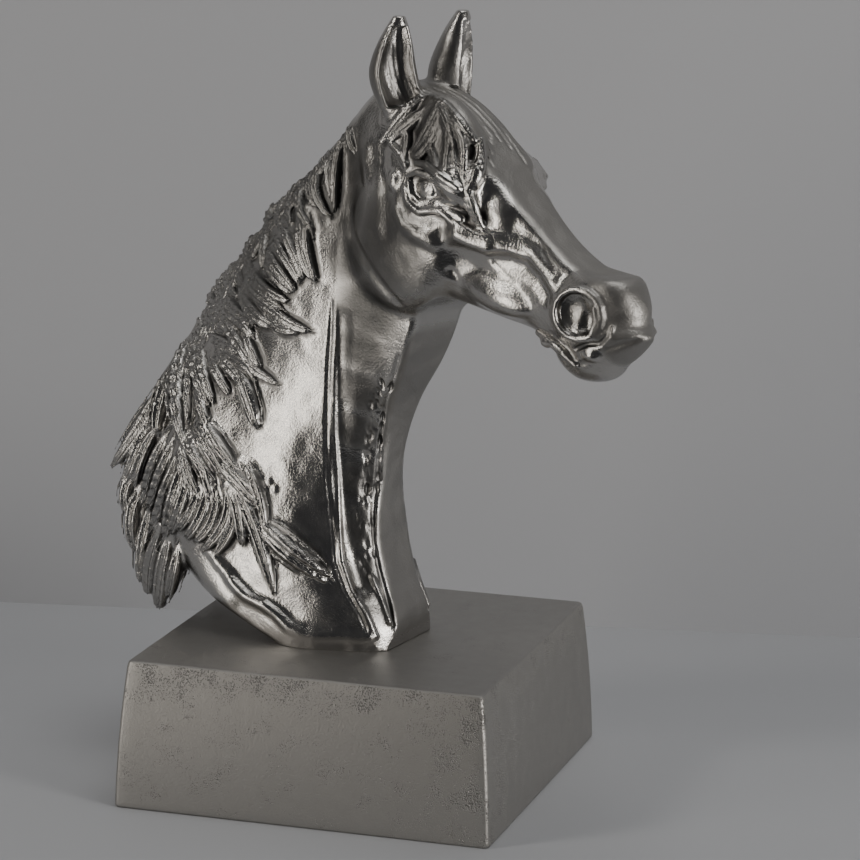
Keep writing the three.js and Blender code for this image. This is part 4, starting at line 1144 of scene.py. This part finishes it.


# %% [markdown]
# ## The bright metal
# Satin, hair, the painted shade of the dull places, and the painted shade and grime of the hollows each
# tint the colour. Grain, belt lines and fine strands are bumps, whose heights are in metres.

# %% Bright cast metal
# Near-black tint for the hollows: painted shade, with some grime.
HOLLOW_SHADE_AND_GRIME = (0.06, 0.06, 0.06, 1)
bright, tree, shader, _, grain, belt = metal_start("bright_cast_metal", 1000.0, (260.0, 260.0, 2600.0))
satin_here, hair_here, dull_and_shaded_here = (stored(tree, title) for title in ("satin", "hair", "dull_and_shaded"))
shade_and_grime = steps_between(tree, stored(tree, "hollow"), 0.2, 0.85)
metal = blend_colours(tree, satin_here, (0.50, 0.486, 0.464, 1), (0.32, 0.31, 0.295, 1))
metal = tinted(tree, metal, hair_here, 0.3, (0.24, 0.235, 0.225, 1))
# The dull places are darkened almost to black: painted shade.
metal = tinted(tree, metal, dull_and_shaded_here, 0.9, (0.06, 0.059, 0.057, 1))
# The deeper a point lies in a hollow, the darker it is painted: painted shade, with some grime.
metal = tinted(tree, metal, shade_and_grime, 0.75, HOLLOW_SHADE_AND_GRIME)
tree.links.new(metal, shader.inputs["Base Color"])
rough = maths(tree, "MULTIPLY_ADD", grain.outputs["Mottle"], 0.22, 0.11)
for share, more in ((satin_here, 0.22), (shade_and_grime, 0.18), (dull_and_shaded_here, 0.18)):
    rough = maths(tree, "MULTIPLY_ADD", share, more, rough)
tree.links.new(rough, shader.inputs["Roughness"])
turn = bump(tree, grain.outputs["Wave"], 0.6, 0.0016)
turn = bump(tree, grain.outputs["Height"], 0.6, 0.00028, turn)
turn = bump(tree, belt.outputs["Height"], times(tree, satin_here, 0.5), 0.0001, turn)
strands = times(tree, maths(tree, "SINE", times(tree, stored(tree, "strand"), 3.4)), 0.5)
turn = bump(tree, strands, times(tree, hair_here, 0.4), 0.0003, turn)
tree.links.new(turn, shader.inputs["Normal"])
for bust in busts:
    bust.data.materials.append(bright)

# %% [markdown]
# ## The satin metal
# The plinth's sides have cast pits near the top edge and at the front corner. Its top is smoother, and
# its colour is a little darker than the sides: painted shade.

# %% Satin cast metal
satin, tree, shader, place, grain, belt = metal_start("satin_cast_metal", 1100.0, (60.0, 60.0, 1900.0))
TOP = PLINTH_TOP_Z / PER_METRE
parts = tree.nodes.new("ShaderNodeSeparateXYZ")
tree.links.new(place, parts.inputs[0])
near_top = steps_between(tree, parts.outputs["Z"], TOP - 0.020, TOP - 0.002)
side_share = steps_between(tree, maths(tree, "SUBTRACT", TOP, parts.outputs["Z"]), 0.0003, 0.001)
corner = steps_between(tree, maths(tree, "SUBTRACT", parts.outputs["X"], parts.outputs["Y"]), 0.10, 0.15)
pitted = times(tree, side_share, maths(tree, "MAXIMUM", near_top, times(tree, corner, 0.8)))
pits = use(tree, pit_group, place, Scale=1500.0, Amount=maths(tree, "MULTIPLY_ADD", pitted, 0.2, 0.13))
# The top is given a darker colour than the sides: painted shade.
metal = blend_colours(tree, side_share, (0.38, 0.372, 0.36, 1), (0.42, 0.407, 0.385, 1))
metal = tinted(tree, metal, grain.outputs["Mottle"], 0.35, (0.30, 0.29, 0.275, 1))
# The pits are darkened in colour by their depth: painted shade.
metal = tinted(tree, metal, pits.outputs["Depth"], 0.6, (0.08, 0.078, 0.074, 1))
tree.links.new(metal, shader.inputs["Base Color"])
rough = maths(tree, "MULTIPLY_ADD", grain.outputs["Mottle"], 0.12, 0.46)
tree.links.new(maths(tree, "MULTIPLY_ADD", side_share, -0.04, rough), shader.inputs["Roughness"])
turn = bump(tree, grain.outputs["Height"], times(tree, side_share, 0.5), 0.0002)
turn = bump(tree, belt.outputs["Height"], 0.35, 0.0001, turn)
turn = bump(tree, maths(tree, "SUBTRACT", 1.0, pits.outputs["Depth"]), 0.8, 0.0004, turn)
tree.links.new(turn, shader.inputs["Normal"])
plinth.data.materials.append(satin)

# %% [markdown]
# ## Pieces and their solids
# The five bust meshes stand for one solid of the model, and the plinth block for the other.

# %% Tie the pieces to the frame
for bust in busts:
    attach(bust, "root")
    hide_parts("horse_head")
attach(plinth, "root")
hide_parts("plinth")

# %% [markdown]
# ## The studio
# A pale floor, a plain grey wall and soft lights. The wall meets the floor where the photograph shows
# it. It is clear from behind, so that it doesn't hide the horse in views from the back.

# %% Floor and wall
PER_PIXEL = 1 / FOCAL_PIXELS
WALL_FOOT_PIXELS = [(0, 602), (860, 638)]
FLOOR_FRONT, WALL_SPARE, WALL_HIGH = 0.47, 1.2, 1.6


def floor_under(pixel):
    """The place on the floor that one pixel of the photograph shows."""
    right, down = ((v - PICTURE / 2) * PER_PIXEL for v in pixel)
    ray = right * across - down * upright - away
    eye = camera.matrix_world.translation
    return eye - ray * (eye.z / ray.z)


def plain(name, colour, rough):
    m, _, s = new_material(name)
    s.inputs["Base Color"].default_value = (*colour, 1)
    s.inputs["Roughness"].default_value = rough
    return m


def sheet(name, corners, material):
    thing = put_mesh(name, corners, [(0, 1, 2, 3)])
    thing.data.materials.append(material)


# %% Build the floor and the wall
floor_look = plain("floor_paint", (0.47, 0.482, 0.505), 0.7)
wall_look = plain("wall_paint", (0.42, 0.427, 0.447), 0.8)
tree = wall_look.node_tree
see_through = tree.nodes.new("ShaderNodeBsdfTransparent")
which_side = tree.nodes.new("ShaderNodeNewGeometry")
one_sided = tree.nodes.new("ShaderNodeMixShader")
for start, end in ((which_side.outputs["Backfacing"], one_sided.inputs[0]),
                   (tree.nodes["Principled BSDF"].outputs[0], one_sided.inputs[1]),
                   (see_through.outputs[0], one_sided.inputs[2]),
                   (one_sided.outputs[0], tree.nodes["Material Output"].inputs["Surface"])):
    tree.links.new(start, end)
wall_left, wall_right = (floor_under(p) for p in WALL_FOOT_PIXELS)
along_wall = (wall_right - wall_left).normalized() * WALL_SPARE
foot = [wall_left - along_wall, wall_right + along_wall]
nearer = Vector((away.x, away.y, 0)).normalized() * FLOOR_FRONT
higher = Vector((0, 0, WALL_HIGH))
sheet("floor", [foot[0] + nearer, foot[1] + nearer, foot[1], foot[0]], floor_look)
sheet("wall", [foot[0], foot[1], foot[1] + higher, foot[0] + higher], wall_look)
print("wall foot from", tuple(round(v, 2) for v in foot[0]), "to", tuple(round(v, 2) for v in foot[1]))

# %% [markdown]
# ## The lights
# A mirror finish shows mostly its surroundings, so the room in front stays dark and a few broad lights
# draw the bands on the metal. The tall window on the left makes the bright band on the neck.

# %% Lights
world = bpy.data.worlds.new("studio")
bpy.context.scene.world = world
world.use_nodes = True
world.node_tree.nodes["Background"].inputs["Color"].default_value = (0.036, 0.037, 0.04, 1)
LIGHTS = [
    ("window_left", (-1.27, -1.35, 0.1), (0, 0, 0.2), (0.5, 1.3), 11, (1, 0.95, 0.88)),
    ("window_high", (-1.2, -1.0, 1.3), (0, 0, 0.2), (0.35, 0.35), 5, (1, 0.96, 0.9)),
    ("window_right", (1.4, -0.6, 0.25), (0, 0, 0.15), (0.4, 0.9), 13, (1, 0.97, 0.93)),
    ("ceiling", (0.2, 0.1, 1.7), (0, 0, 0.2), (1.4, 0.8), 10.5, (1, 0.99, 0.97)),
]
for name, where, aim, size, power, colour in LIGHTS:
    data = bpy.data.lights.new(name, "AREA")
    data.shape = "RECTANGLE"
    data.size, data.size_y = size
    data.energy = power
    data.color = colour
    lamp = put(name, data)
    lamp.location = where
    lamp.rotation_euler = (Vector(aim) - Vector(where)).to_track_quat("-Z", "Y").to_euler()
print(len(LIGHTS), "lights")
